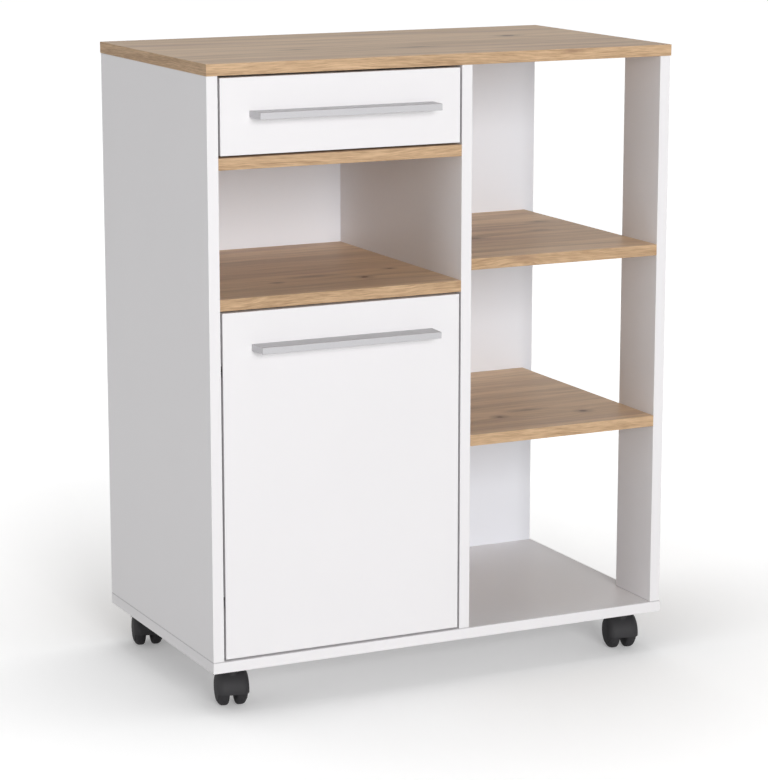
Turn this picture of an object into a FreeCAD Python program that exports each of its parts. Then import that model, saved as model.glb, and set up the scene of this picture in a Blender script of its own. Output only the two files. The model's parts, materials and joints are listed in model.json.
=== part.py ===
"""Kitchen sideboard on castors: drawer, niche and cupboard beside three open bays.

Units are millimetres. X runs across the front, Y from front to back and Z up.
The origin is on the floor, below the middle of the whole part.
"""

import FreeCAD
import Part
import math
import os

Vector = FreeCAD.Vector
X_AXIS = Vector(1, 0, 0)
Y_AXIS = Vector(0, 1, 0)
Z_AXIS = Vector(0, 0, 1)

# Carcass
board = 16.0
edge_radius = 0.6
back_thickness = 3.0
body_depth = 398.0
left_bay_width = 362.0
right_bay_width = 300.0
end_inset = 2.0
upright_depth = 98.0
cupboard_height = 487.0
niche_height = 173.0
drawer_bay_height = 109.0
lower_bay_height = 265.0
middle_bay_height = 235.0

# Fronts and their handles
front_gap = 3.0
handle_drop = 44.5
handle_length = 272.0
handle_projection = 33.0
handle_height = 9.0
handle_wall = 2.0
handle_flange = 3.0
handle_end_draft = 2.0
handle_edge_radius = 0.5
handle_boss_radius = 3.4
handle_boss_length = 8.0
handle_screw_spacing = 224.0
handle_screw_radius = 2.0
handle_screw_bite = 8.0
handle_screw_head_radius = 4.0
handle_screw_head_height = 2.4

# Drawer box
runner_space = 12.5
drawer_side_thickness = 12.0
drawer_box_rise = 10.0
drawer_box_drop = 18.0
drawer_rear_gap = 34.0
drawer_bottom_thickness = 3.0
drawer_bottom_rise = 8.0
drawer_groove = 5.0
drawer_cam_radius = 6.0
drawer_cam_depth = 9.0
drawer_cam_distance = 22.0
drawer_cam_bolt_radius = 2.5
drawer_cam_bolt_bite = 9.0
drawer_cam_drop = 22.0
drawer_screw_radius = 1.8
drawer_screw_head_radius = 3.5
drawer_screw_head_height = 2.5
drawer_screw_length = 32.0
drawer_screw_first_drop = 10.0
drawer_screw_second_drop = 30.0

# Drawer runners and their rollers
runner_steel = 1.0
runner_flange = 5.0
runner_setback = 2.0
runner_rear_gap = 27.0
runner_rise = 24.0
roller_radius = 8.0
roller_width = 3.8
roller_clearance = 0.3
roller_side_gap = 0.3
roller_pin_radius = 2.5
rivet_head_radius = 4.0
rivet_head_thickness = 0.5
runner_flange_gap = 0.5
front_roller_inset = 24.0
rear_roller_inset = 11.0
runner_front_screw_inset = 8.0
runner_second_screw_inset = 40.0
runner_rear_screw_inset = 4.0
drawer_runner_front_screw_inset = 6.0
drawer_runner_rear_screw_inset = 32.0

# Door hinges
hinge_end_distance = 80.0
hinge_pin_inset = 16.0
hinge_pin_depth = 8.3
hinge_pin_radius = 1.75
hinge_pin_length = 22.0
hinge_knuckle_radius = 3.5
hinge_cup_inset = 21.5
hinge_cup_radius = 17.5
hinge_cup_depth = 12.5
hinge_cup_wall = 0.8
hinge_wing_thickness = 1.2
hinge_wing_width = 13.0
hinge_wing_length = 56.0
hinge_wing_screw_spacing = 45.0
hinge_arm_height = 12.0
hinge_arm_thickness = 3.0
hinge_arm_reach = 28.7
hinge_base_length = 38.0
hinge_ear_thickness = 3.0
hinge_side_gap = 1.5
hinge_plate_thickness = 3.0
hinge_plate_height = 44.0
hinge_plate_margin = 3.0
hinge_plate_screw_spacing = 32.0

# Loose shelf in the cupboard
loose_shelf_rise = 235.0
loose_shelf_setback = 30.0
loose_shelf_side_gap = 1.0
loose_shelf_back_gap = 4.0
shelf_pin_radius = 2.5
shelf_pin_bite = 9.0
shelf_pin_reach = 9.0
shelf_pin_inset = 45.0

# Carcass fittings
fit_clearance = 0.1
cam_radius = 7.5
cam_depth = 12.5
cam_distance = 24.0
cam_bolt_radius = 3.0
cam_bolt_bite = 11.0
cam_inset = 50.0
dowel_radius = 4.0
dowel_length = 30.0
dowel_bite = 11.0
dowel_inset = 95.0
upright_joint_spread = 25.0
bottom_screw_radius = 3.2
bottom_screw_length = 50.0
bottom_screw_head_radius = 5.0
bottom_screw_head_height = 4.0
nail_radius = 0.8
nail_length = 20.0
nail_head_radius = 2.5
nail_head_thickness = 0.8
nail_pitch = 130.0
mount_screw_radius = 1.6
mount_screw_length = 13.0
mount_screw_head_radius = 3.2
mount_screw_head_height = 1.8

# Castors
castor_side_inset = 43.0
castor_end_inset = 39.0
castor_trail = 9.0
castor_turn = -12.5
wheel_radius = 25.0
wheel_inner_shoulder = 5.0
wheel_tread_flat = 2.0
wheel_side_gap = 0.4
wheel_dish_depth = 2.0
wheel_dish_rim = 3.0
wheel_hub_radius = 6.0
wheel_face_thickness = 1.6
hood_shoulder = 10.0
hood_wall = 1.8
hood_wheel_gap = 1.2
hood_web_half = 5.5
hood_front_angle = 98.0
hood_rear_angle = 75.0
hood_hub_radius = 8.0
axle_radius = 3.0
running_clearance = 0.06
swivel_height = 6.5
swivel_boss_radius = 9.0
swivel_gap = 0.3
kingpin_radius = 4.0
kingpin_length = 14.0
castor_plate_size = 42.0
castor_plate_thickness = 2.5
castor_plate_corner = 4.0
castor_screw_spacing = 30.0

# Heights, from the floor up
castor_height = 2 * wheel_radius + hood_wheel_gap + hood_wall + swivel_height + castor_plate_thickness
bottom_z = castor_height
floor_z = bottom_z + board
niche_shelf_z = floor_z + cupboard_height
niche_floor_z = niche_shelf_z + board
drawer_shelf_z = niche_floor_z + niche_height
drawer_floor_z = drawer_shelf_z + board
top_z = drawer_floor_z + drawer_bay_height
lower_shelf_z = floor_z + lower_bay_height
upper_shelf_z = lower_shelf_z + board + middle_bay_height
total_height = top_z + board

# Places across the width
total_width = 3 * board + left_bay_width + right_bay_width + end_inset
left_x = -total_width / 2
left_bay_x = left_x + board
divider_x = left_bay_x + left_bay_width
right_bay_x = divider_x + board
upright_x = right_bay_x + right_bay_width
upright_outer_x = upright_x + board
right_x = total_width / 2

# Places from front to back
front_y = (handle_projection - body_depth) / 2
rear_y = front_y + body_depth
board_rear_y = rear_y - back_thickness
front_rear_y = front_y + board
upright_middle_y = front_y + upright_depth / 2
depth_span = (front_y, board_rear_y)

# Fronts
front_span_x = (left_bay_x + front_gap, divider_x - front_gap)
front_middle_x = (left_bay_x + divider_x) / 2
drawer_front_z = (drawer_floor_z + front_gap, top_z - front_gap)
door_z = (floor_z + front_gap, niche_shelf_z - front_gap)

# Drawer box and runners
drawer_box_z = (drawer_front_z[0] + drawer_box_rise, drawer_front_z[1] - drawer_box_drop)
drawer_box_rear_y = board_rear_y - drawer_rear_gap
drawer_bottom_z = drawer_box_z[0] + drawer_bottom_rise
roller_z = drawer_box_z[0] + runner_rise
runner_front_y = front_rear_y + runner_setback
runner_rear_y = board_rear_y - runner_rear_gap
runner_inner_half = roller_radius + roller_clearance
runner_outer_half = runner_inner_half + runner_steel
drawer_member_near = runner_steel + runner_flange + runner_flange_gap
drawer_web_near = runner_space - runner_steel
front_roller_y = front_rear_y + front_roller_inset
rear_roller_y = drawer_box_rear_y - rear_roller_inset

# Hinge places
hinge_pin_x = front_span_x[0] + hinge_pin_inset
hinge_pin_y = front_y + hinge_pin_depth
hinge_heights = (door_z[0] + hinge_end_distance, door_z[1] - hinge_end_distance)

# Castor shapes
hood_radius = wheel_radius + hood_wheel_gap + hood_wall
crown_half = hood_web_half + wheel_side_gap + wheel_inner_shoulder + wheel_tread_flat
wheel_shoulder = hood_shoulder - hood_wall - hood_wheel_gap
hood_half_width = crown_half + hood_shoulder
wheel_inner_x = hood_web_half + wheel_side_gap
wheel_outer_x = crown_half + wheel_shoulder
castor_plate_z = bottom_z - castor_plate_thickness
boss_top_z = castor_plate_z - swivel_gap
castor_places = {
    "front_left": (left_x + castor_side_inset, front_y + castor_end_inset),
    "front_right": (right_x - castor_side_inset, front_y + castor_end_inset),
    "rear_left": (left_x + castor_side_inset, rear_y - castor_end_inset),
    "rear_right": (right_x - castor_side_inset, rear_y - castor_end_inset),
}

pieces = {}
cuts = {}


def add(node, *solids):
    """Puts solids into a node."""
    pieces.setdefault(node, []).extend(solids)


def drill(nodes, *tools):
    """Cuts the tools' shapes out of each of the nodes."""
    for node in nodes:
        cuts.setdefault(node, []).extend(tools)


def block(x_span, y_span, z_span):
    """A box between low and high values."""
    low = Vector(x_span[0], y_span[0], z_span[0])
    size = (x_span[1] - x_span[0], y_span[1] - y_span[0], z_span[1] - z_span[0])
    return Part.makeBox(size[0], size[1], size[2], low)


def panel(x_span, y_span, z_span):
    """A board with softly rounded edges."""
    solid = block(x_span, y_span, z_span)
    return solid.makeFillet(edge_radius, solid.Edges)


def rod(radius, start, way, length):
    """A round bar from a start point."""
    return Part.makeCylinder(radius, length, start, way)


def prism(outline, way):
    """A straight solid on a closed outline of points."""
    return Part.Face(Part.makePolygon(outline + [outline[0]])).extrude(way)


def sunk(z_span, amount):
    """A span with both ends moved out by an amount."""
    return (z_span[0] - amount, z_span[1] + amount)


def screw(node, boards, seat, way, shank, length, head, head_height, buried=False):
    """A screw whose head stands on a seat, or lies in a round pocket before it.

    The seat is under the head, and the way runs from the head along the shank.
    """
    shape = rod(head, seat - way * head_height, way, head_height)
    shape = shape.fuse(rod(shank, seat, way, length))
    add(node, shape)
    drill(boards, rod(shank + fit_clearance, seat, way, length + fit_clearance))
    if buried:
        drill(boards, rod(head + fit_clearance, seat - way * head_height, way, head_height))


def mount_screw(boards, seat, way):
    """A small screw that holds a steel fitting on a board."""
    screw("mounting_screws", boards, seat, way, mount_screw_radius, mount_screw_length,
          mount_screw_head_radius, mount_screw_head_height)


def cam_joint(host, mate, joint, into_host, face_way):
    """A cam lock in a board's face, and its bolt that stands in the mating board.

    The joint point is at mid thickness on the host's end, and the face way runs
    from there to the face that takes the lock.
    """
    centre = joint + into_host * cam_distance
    mouth = centre + face_way * (board / 2)
    bolt_foot = joint - into_host * cam_bolt_bite
    bolt_length = cam_bolt_bite + cam_distance
    bolt_hole = rod(cam_bolt_radius + fit_clearance, bolt_foot, into_host, bolt_length)
    lock = rod(cam_radius, mouth, face_way * -1, cam_depth)
    add("cam_locks", lock.cut(bolt_hole))
    add("cam_bolts", rod(cam_bolt_radius, bolt_foot, into_host, bolt_length))
    drill([host, mate], bolt_hole)
    drill([host], rod(cam_radius + fit_clearance, mouth, face_way * -1, cam_depth))


def dowel_joint(host, mate, joint, into_host):
    """A wooden dowel between a board's end and the face it meets."""
    foot = joint - into_host * dowel_bite
    add("dowels", rod(dowel_radius, foot, into_host, dowel_length))
    drill([host, mate], rod(dowel_radius + fit_clearance, foot, into_host, dowel_length))


def bottom_screw(host, x, y):
    """A long screw through the bottom panel into an upright board."""
    seat = Vector(x, y, bottom_z + bottom_screw_head_height)
    screw("bottom_screws", ["bottom_panel", host], seat, Z_AXIS, bottom_screw_radius,
          bottom_screw_length, bottom_screw_head_radius, bottom_screw_head_height, buried=True)


def carcass_boards():
    """The boards of the body."""
    board_height = (floor_z, top_z)
    add("top_panel", panel((left_x, right_x), (front_y, rear_y), (top_z, total_height)))
    add("bottom_panel", panel((left_x, right_x), depth_span, (bottom_z, floor_z)))
    add("left_side_panel", panel((left_x, left_bay_x), depth_span, board_height))
    add("divider_panel", panel((divider_x, right_bay_x), depth_span, board_height))
    upright_span = (front_y, front_y + upright_depth)
    add("right_upright", panel((upright_x, upright_outer_x), upright_span, board_height))
    back_x = (left_x + end_inset, upright_outer_x)
    add("back_panel", block(back_x, (board_rear_y, rear_y), (bottom_z, top_z)))

    left_bay = (left_bay_x, divider_x)
    right_bay = (right_bay_x, upright_x)
    add("drawer_shelf", panel(left_bay, depth_span, (drawer_shelf_z, drawer_floor_z)))
    add("niche_shelf", panel(left_bay, depth_span, (niche_shelf_z, niche_floor_z)))
    add("right_upper_shelf", panel(right_bay, depth_span, (upper_shelf_z, upper_shelf_z + board)))
    add("right_lower_shelf", panel(right_bay, depth_span, (lower_shelf_z, lower_shelf_z + board)))


def loose_shelf():
    """The shelf behind the door, which lies on four pins."""
    shelf_z = floor_z + loose_shelf_rise
    shelf_x = sunk((left_bay_x, divider_x), -loose_shelf_side_gap)
    shelf_y = (front_rear_y + loose_shelf_setback, board_rear_y - loose_shelf_back_gap)
    add("cupboard_shelf", panel(shelf_x, shelf_y, (shelf_z, shelf_z + board)))
    pin_z = shelf_z - shelf_pin_radius
    pin_length = shelf_pin_bite + shelf_pin_reach
    for wall, way, host in (
        (left_bay_x, X_AXIS, "left_side_panel"),
        (divider_x, X_AXIS * -1, "divider_panel"),
    ):
        for pin_y in (shelf_y[0] + shelf_pin_inset, shelf_y[1] - shelf_pin_inset):
            foot = Vector(wall, pin_y, pin_z) - way * shelf_pin_bite
            add("shelf_pins", rod(shelf_pin_radius, foot, way, pin_length))
            drill([host], rod(shelf_pin_radius + fit_clearance, foot, way, pin_length))


def carcass_fittings():
    """Cam locks, dowels and screws that hold the body together."""
    left_middle = left_x + board / 2
    divider_middle = divider_x + board / 2
    upright_middle = upright_x + board / 2
    cam_rows = (front_y + cam_inset, board_rear_y - cam_inset)
    dowel_rows = (front_y + dowel_inset, board_rear_y - dowel_inset)
    upright_rows = (upright_middle_y - upright_joint_spread, upright_middle_y + upright_joint_spread)

    for host, middle, face_way in (
        ("left_side_panel", left_middle, X_AXIS),
        ("divider_panel", divider_middle, X_AXIS * -1),
    ):
        for row in cam_rows:
            cam_joint(host, "top_panel", Vector(middle, row, top_z), Z_AXIS * -1, face_way)
            bottom_screw(host, middle, row)
        for row in dowel_rows:
            dowel_joint(host, "top_panel", Vector(middle, row, top_z), Z_AXIS * -1)
    upright_cam = Vector(upright_middle, upright_rows[0], top_z)
    upright_dowel = Vector(upright_middle, upright_rows[1], top_z)
    cam_joint("right_upright", "top_panel", upright_cam, Z_AXIS * -1, X_AXIS)
    dowel_joint("right_upright", "top_panel", upright_dowel, Z_AXIS * -1)
    for row in upright_rows:
        bottom_screw("right_upright", upright_middle, row)

    down = Z_AXIS * -1
    for shelf, shelf_z in (("drawer_shelf", drawer_shelf_z), ("niche_shelf", niche_shelf_z)):
        middle = shelf_z + board / 2
        for row in cam_rows:
            cam_joint(shelf, "left_side_panel", Vector(left_bay_x, row, middle), X_AXIS, down)
            cam_joint(shelf, "divider_panel", Vector(divider_x, row, middle), X_AXIS * -1, down)
        for row in dowel_rows:
            dowel_joint(shelf, "left_side_panel", Vector(left_bay_x, row, middle), X_AXIS)
            dowel_joint(shelf, "divider_panel", Vector(divider_x, row, middle), X_AXIS * -1)
    for shelf, shelf_z in (("right_upper_shelf", upper_shelf_z), ("right_lower_shelf", lower_shelf_z)):
        middle = shelf_z + board / 2
        for row in cam_rows:
            cam_joint(shelf, "divider_panel", Vector(right_bay_x, row, middle), X_AXIS, down)
        for row in dowel_rows:
            dowel_joint(shelf, "divider_panel", Vector(right_bay_x, row, middle), X_AXIS)
        cam_joint(shelf, "right_upright", Vector(upright_x, upright_rows[0], middle), X_AXIS * -1, down)
        dowel_joint(shelf, "right_upright", Vector(upright_x, upright_rows[1], middle), X_AXIS * -1)


def nail(host, x, z):
    """A nail through the back panel, with its head flush behind."""
    seat = Vector(x, rear_y - nail_head_thickness, z)
    screw("back_panel_nails", ["back_panel", host], seat, Y_AXIS * -1, nail_radius,
          nail_length, nail_head_radius, nail_head_thickness, buried=True)


def spread(low, high):
    """Evenly spaced places inside a stretch, about one nail pitch apart."""
    count = max(2, round((high - low) / nail_pitch))
    step = (high - low) / count
    return [low + step * (place + 0.5) for place in range(count)]


def back_panel_nails():
    """Rows of nails along the boards' rear edges."""
    for host, x in (("left_side_panel", left_x + board / 2), ("divider_panel", divider_x + board / 2)):
        for z in spread(floor_z, top_z):
            nail(host, x, z)
    for x in spread(left_bay_x, upright_x):
        nail("bottom_panel", x, bottom_z + board / 2)
    for host, shelf_z, low, high in (
        ("drawer_shelf", drawer_shelf_z, left_bay_x, divider_x),
        ("niche_shelf", niche_shelf_z, left_bay_x, divider_x),
        ("right_upper_shelf", upper_shelf_z, right_bay_x, upright_x),
        ("right_lower_shelf", lower_shelf_z, right_bay_x, upright_x),
    ):
        for x in spread(low, high):
            nail(host, x, shelf_z + board / 2)


def handle(node, screw_node, host, top):
    """A ledge handle: a channel that is open below, on two bosses for its screws."""
    base_half = handle_length / 2
    nose_half = base_half - handle_end_draft
    nose_y = front_y - handle_projection
    low = top - handle_height

    def outline(back_y, back_half, tip_y, tip_half, z):
        return [
            Vector(front_middle_x - back_half, back_y, z),
            Vector(front_middle_x - tip_half, tip_y, z),
            Vector(front_middle_x + tip_half, tip_y, z),
            Vector(front_middle_x + back_half, back_y, z),
        ]

    shape = prism(outline(front_y, base_half, nose_y, nose_half, low), Z_AXIS * handle_height)
    shape = shape.makeFillet(handle_edge_radius, shape.Edges)
    hollow = outline(front_y - handle_flange, base_half - 2 * handle_wall,
                     nose_y + handle_wall, nose_half - 2 * handle_wall, low)
    shape = shape.cut(prism(hollow, Z_AXIS * (handle_height - handle_wall)))
    boss_z = top - handle_height / 2
    for side in (-1, 1):
        x = front_middle_x + side * handle_screw_spacing / 2
        flange = Vector(x, front_y - handle_flange, boss_z)
        shape = shape.fuse(rod(handle_boss_radius, flange, Y_AXIS * -1, handle_boss_length))
        seat = Vector(x, front_rear_y, boss_z)
        screw(screw_node, [host, node], seat, Y_AXIS * -1, handle_screw_radius,
              board + handle_screw_bite, handle_screw_head_radius, handle_screw_head_height)
    add(node, shape.removeSplitter())


def drawer():
    """The drawer's front and box."""
    add("drawer_front", panel(front_span_x, (front_y, front_rear_y), drawer_front_z))
    handle("drawer_handle", "drawer_screws", "drawer_front", drawer_front_z[1] - handle_drop)

    outer = (left_bay_x + runner_space, divider_x - runner_space)
    inner = sunk(outer, -drawer_side_thickness)
    box_y = (front_rear_y, drawer_box_rear_y)
    bottom_top = drawer_bottom_z + drawer_bottom_thickness
    back_front_y = drawer_box_rear_y - drawer_side_thickness
    bottom_y = (front_rear_y - drawer_groove, drawer_box_rear_y)
    bottom = block(sunk(inner, drawer_groove), bottom_y, (drawer_bottom_z, bottom_top))
    add("drawer_bottom", bottom)
    add("drawer_left_side", panel((outer[0], inner[0]), box_y, drawer_box_z))
    add("drawer_right_side", panel((inner[1], outer[1]), box_y, drawer_box_z))
    add("drawer_back", panel(inner, (back_front_y, drawer_box_rear_y), (bottom_top, drawer_box_z[1])))
    drill(["drawer_left_side", "drawer_right_side", "drawer_front"], bottom)

    cam_z = drawer_box_z[1] - drawer_cam_drop
    back_middle_y = drawer_box_rear_y - drawer_side_thickness / 2
    for host, inner_x, way in (
        ("drawer_left_side", inner[0], X_AXIS),
        ("drawer_right_side", inner[1], X_AXIS * -1),
    ):
        bolt_x = inner_x - way.x * drawer_side_thickness / 2
        foot = Vector(bolt_x, front_rear_y - drawer_cam_bolt_bite, cam_z)
        bolt_length = drawer_cam_bolt_bite + drawer_cam_distance
        bolt_hole = rod(drawer_cam_bolt_radius + fit_clearance, foot, Y_AXIS, bolt_length)
        mouth = Vector(inner_x, front_rear_y + drawer_cam_distance, cam_z)
        lock = rod(drawer_cam_radius, mouth, way * -1, drawer_cam_depth)
        add("drawer_cam_locks", lock.cut(bolt_hole))
        add("drawer_cam_bolts", rod(drawer_cam_bolt_radius, foot, Y_AXIS, bolt_length))
        drill([host, "drawer_front"], bolt_hole)
        drill([host], rod(drawer_cam_radius + fit_clearance, mouth, way * -1, drawer_cam_depth))

        outer_x = inner_x - way.x * drawer_side_thickness
        for drop in (drawer_screw_first_drop, drawer_screw_second_drop):
            seat = Vector(outer_x + way.x * drawer_screw_head_height, back_middle_y, drawer_box_z[1] - drop)
            screw("drawer_screws", [host, "drawer_back"], seat, way, drawer_screw_radius,
                  drawer_screw_length, drawer_screw_head_radius, drawer_screw_head_height, buried=True)


def roller(x, y, way):
    """A plastic runner roller that starts at x and turns on a pin along the way."""
    start = Vector(x, y, roller_z)
    bore = rod(roller_pin_radius + running_clearance, start, way, roller_width)
    return rod(roller_radius, start, way, roller_width).cut(bore)


def runner(side, wall_x, way, wall, drawer_side):
    """The two members of one drawer runner, each with a roller on a riveted pin."""

    def across(near, far):
        return tuple(sorted((wall_x + way.x * near, wall_x + way.x * far)))

    def level(low, high):
        return (roller_z + low, roller_z + high)

    cabinet_y = (runner_front_y, runner_rear_y)
    channel = block(across(0, runner_steel), cabinet_y, level(-runner_outer_half, runner_outer_half))
    lip = across(0, runner_steel + runner_flange)
    channel = channel.fuse(block(lip, cabinet_y, level(runner_inner_half, runner_outer_half)))
    channel = channel.fuse(block(lip, cabinet_y, level(-runner_outer_half, -runner_inner_half)))
    roller_near = drawer_member_near + roller_side_gap
    head_near = roller_near + roller_width + running_clearance
    pin_foot = Vector(wall_x, front_roller_y, roller_z)
    channel = channel.fuse(rod(roller_pin_radius, pin_foot, way, head_near + rivet_head_thickness))
    head = rod(rivet_head_radius, pin_foot + way * head_near, way, rivet_head_thickness)
    add("cabinet_runner_" + side, channel.fuse(head).removeSplitter())
    add("cabinet_roller_" + side, roller(wall_x + way.x * roller_near, front_roller_y, way))

    member_y = (runner_front_y, drawer_box_rear_y)
    web_level = level(-runner_outer_half, runner_outer_half)
    web = block(across(drawer_web_near, runner_space), member_y, web_level)
    cap = across(drawer_member_near, runner_space)
    web = web.fuse(block(cap, member_y, level(runner_inner_half, runner_outer_half)))
    rear_head_near = runner_steel + roller_side_gap
    rear_roller_near = rear_head_near + rivet_head_thickness + running_clearance
    rear_foot = Vector(wall_x + way.x * rear_head_near, rear_roller_y, roller_z)
    web = web.fuse(rod(roller_pin_radius, rear_foot, way, runner_space - rear_head_near))
    web = web.fuse(rod(rivet_head_radius, rear_foot, way, rivet_head_thickness))
    add("drawer_runner_" + side, web.removeSplitter())
    add("drawer_roller_" + side, roller(wall_x + way.x * rear_roller_near, rear_roller_y, way))

    for screw_y in (
        runner_front_y + runner_front_screw_inset,
        runner_front_y + runner_second_screw_inset,
        runner_rear_y - runner_rear_screw_inset,
    ):
        seat = Vector(wall_x + way.x * runner_steel, screw_y, roller_z)
        mount_screw([wall, "cabinet_runner_" + side], seat, way * -1)
    for screw_y in (
        runner_front_y + drawer_runner_front_screw_inset,
        drawer_box_rear_y - drawer_runner_rear_screw_inset,
    ):
        seat = Vector(wall_x + way.x * drawer_web_near, screw_y, roller_z)
        screw("drawer_screws", [drawer_side, "drawer_runner_" + side], seat, way, mount_screw_radius,
              drawer_side_thickness - runner_steel, mount_screw_head_radius, runner_steel)


def hinge(height):
    """A concealed hinge: cup and pin in the door, arm and plate on the left side panel."""
    door_rear_y = front_rear_y
    cup_x = front_span_x[0] + hinge_cup_inset
    cup_floor_y = door_rear_y - hinge_cup_depth
    inner_radius = hinge_cup_radius - hinge_cup_wall
    slot_half = hinge_arm_height / 2 + hinge_side_gap
    wing_rear_y = door_rear_y + hinge_wing_thickness
    hollow_start = Vector(cup_x, cup_floor_y + hinge_cup_wall, height)
    hollow = rod(inner_radius, hollow_start, Y_AXIS, wing_rear_y - hollow_start.y)
    pocket = rod(hinge_cup_radius, Vector(cup_x, cup_floor_y, height), Y_AXIS, hinge_cup_depth)
    slot_x = (front_span_x[0], hinge_pin_x)
    slot_z = (height - slot_half, height + slot_half)
    slot = block(slot_x, (hollow_start.y, wing_rear_y), slot_z)

    cup = pocket.fuse(rod(hinge_cup_radius + hinge_wing_thickness, Vector(cup_x, door_rear_y, height),
                          Y_AXIS, hinge_wing_thickness))
    wing_x = (cup_x, cup_x + hinge_wing_width)
    wing_z = (height - hinge_wing_length / 2, height + hinge_wing_length / 2)
    cup = cup.fuse(block(wing_x, (door_rear_y, wing_rear_y), wing_z))
    cup = cup.cut(hollow)
    ear_x = (hinge_pin_x - hinge_knuckle_radius, hinge_pin_x + hinge_knuckle_radius)
    ear_y = (cup_floor_y, hinge_pin_y + hinge_knuckle_radius)
    for ear_z in (
        (height - slot_half - hinge_ear_thickness, height - slot_half),
        (height + slot_half, height + slot_half + hinge_ear_thickness),
    ):
        cup = cup.fuse(block(ear_x, ear_y, ear_z))
    pin_foot = Vector(hinge_pin_x, hinge_pin_y, height - hinge_pin_length / 2)
    cup = cup.cut(slot)
    cup = cup.cut(rod(hinge_pin_radius, pin_foot, Z_AXIS, hinge_pin_length))
    add("hinge_cups", cup.removeSplitter())
    add("hinge_pins", rod(hinge_pin_radius, pin_foot, Z_AXIS, hinge_pin_length))
    drill(["door_panel"], pocket, slot)
    for side in (-1, 1):
        screw_z = height + side * hinge_wing_screw_spacing / 2
        seat = Vector(cup_x + hinge_wing_width / 2, wing_rear_y, screw_z)
        screw("door_screws", ["door_panel", "hinge_cups"], seat, Y_AXIS * -1, mount_screw_radius,
              mount_screw_length, mount_screw_head_radius, mount_screw_head_height)

    arm_z = (height - hinge_arm_height / 2, height + hinge_arm_height / 2)
    bend_y = hinge_pin_y + hinge_arm_reach
    leg_y = (bend_y - hinge_arm_thickness, bend_y)
    plate_x = (left_bay_x, left_bay_x + hinge_plate_thickness)
    base_x = (plate_x[1], plate_x[1] + hinge_arm_thickness)
    bar_x = (hinge_pin_x - hinge_arm_thickness / 2, hinge_pin_x + hinge_arm_thickness / 2)
    base_rear_y = leg_y[0] + hinge_base_length
    arm = block(bar_x, (hinge_pin_y, bend_y), arm_z)
    arm = arm.fuse(block((base_x[0], bar_x[1]), leg_y, arm_z))
    arm = arm.fuse(block(base_x, (leg_y[0], base_rear_y), arm_z))
    knuckle_foot = Vector(hinge_pin_x, hinge_pin_y, arm_z[0])
    arm = arm.fuse(rod(hinge_knuckle_radius, knuckle_foot, Z_AXIS, hinge_arm_height))
    arm = arm.cut(rod(hinge_pin_radius + running_clearance, knuckle_foot, Z_AXIS, hinge_arm_height))
    add("hinge_arms", arm.removeSplitter())
    plate_y = (leg_y[0] - hinge_plate_margin, base_rear_y + hinge_plate_margin)
    plate_z = (height - hinge_plate_height / 2, height + hinge_plate_height / 2)
    add("hinge_plates", block(plate_x, plate_y, plate_z))
    plate_middle_y = (plate_y[0] + plate_y[1]) / 2
    for side in (-1, 1):
        seat = Vector(plate_x[1], plate_middle_y, height + side * hinge_plate_screw_spacing / 2)
        mount_screw(["left_side_panel", "hinge_plates"], seat, X_AXIS * -1)


def door():
    """The door with its handle and hinges."""
    add("door_panel", panel(front_span_x, (front_y, front_rear_y), door_z))
    handle("door_handle", "door_screws", "door_panel", door_z[1] - handle_drop)
    for height in hinge_heights:
        hinge(height)


def axle_point(x, radius):
    """A point of a turned profile, above the wheel's axle."""
    return Vector(x, castor_trail, wheel_radius + radius)


def corner_arc(centre_x, centre_radius, radius, side):
    """A quarter round from the top of a turned profile out to its side."""
    slant = radius * math.sqrt(0.5)
    top = axle_point(centre_x, centre_radius + radius)
    middle = axle_point(centre_x + side * slant, centre_radius + slant)
    end = axle_point(centre_x + side * radius, centre_radius)
    return Part.Arc(top, middle, end).toShape()


def turned(edges, angle):
    """Turns a closed profile about the wheel's axle."""
    face = Part.Face(Part.Wire(Part.__sortEdges__(edges)))
    return face.revolve(axle_point(0, 0), X_AXIS, angle)


def line(start, end):
    """A straight edge between two profile points given as x and radius."""
    return Part.makeLine(axle_point(*start), axle_point(*end))


def castor_hood():
    """The castor's body: a shell over both wheels, a web between them and a swivel boss."""
    shoulder_radius = hood_radius - hood_shoulder
    turn = hood_front_angle + hood_rear_angle
    barrel = turned([
        line((-hood_half_width, 0), (-hood_half_width, shoulder_radius)),
        corner_arc(-crown_half, shoulder_radius, hood_shoulder, -1),
        line((-crown_half, hood_radius), (crown_half, hood_radius)),
        corner_arc(crown_half, shoulder_radius, hood_shoulder, 1),
        line((hood_half_width, shoulder_radius), (hood_half_width, 0)),
        line((hood_half_width, 0), (-hood_half_width, 0)),
    ], turn)
    barrel.rotate(axle_point(0, 0), X_AXIS, -hood_rear_angle)
    boss = rod(swivel_boss_radius, Vector(0, 0, wheel_radius), Z_AXIS, boss_top_z - wheel_radius)
    hub = rod(hood_hub_radius, axle_point(-hood_web_half, 0), X_AXIS, 2 * hood_web_half)
    body = barrel.fuse(boss).fuse(hub)

    well_shoulder = hood_shoulder - hood_wall
    well_radius = hood_radius - hood_wall
    mouth = hood_half_width + hood_shoulder
    for side in (-1, 1):
        well = turned([
            line((side * hood_web_half, 0), (side * hood_web_half, well_radius)),
            line((side * hood_web_half, well_radius), (side * crown_half, well_radius)),
            corner_arc(side * crown_half, shoulder_radius, well_shoulder, side),
            line((side * (crown_half + well_shoulder), shoulder_radius), (side * mouth, shoulder_radius)),
            line((side * mouth, shoulder_radius), (side * mouth, 0)),
            line((side * mouth, 0), (side * hood_web_half, 0)),
        ], 360)
        body = body.cut(well)
    body = body.cut(rod(axle_radius, axle_point(-hood_web_half, 0), X_AXIS, 2 * hood_web_half))
    bore_depth = kingpin_length + swivel_gap
    bore_foot = Vector(0, 0, castor_plate_z - bore_depth)
    bore = rod(kingpin_radius + running_clearance, bore_foot, Z_AXIS, bore_depth)
    return body.cut(bore).removeSplitter()


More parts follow.
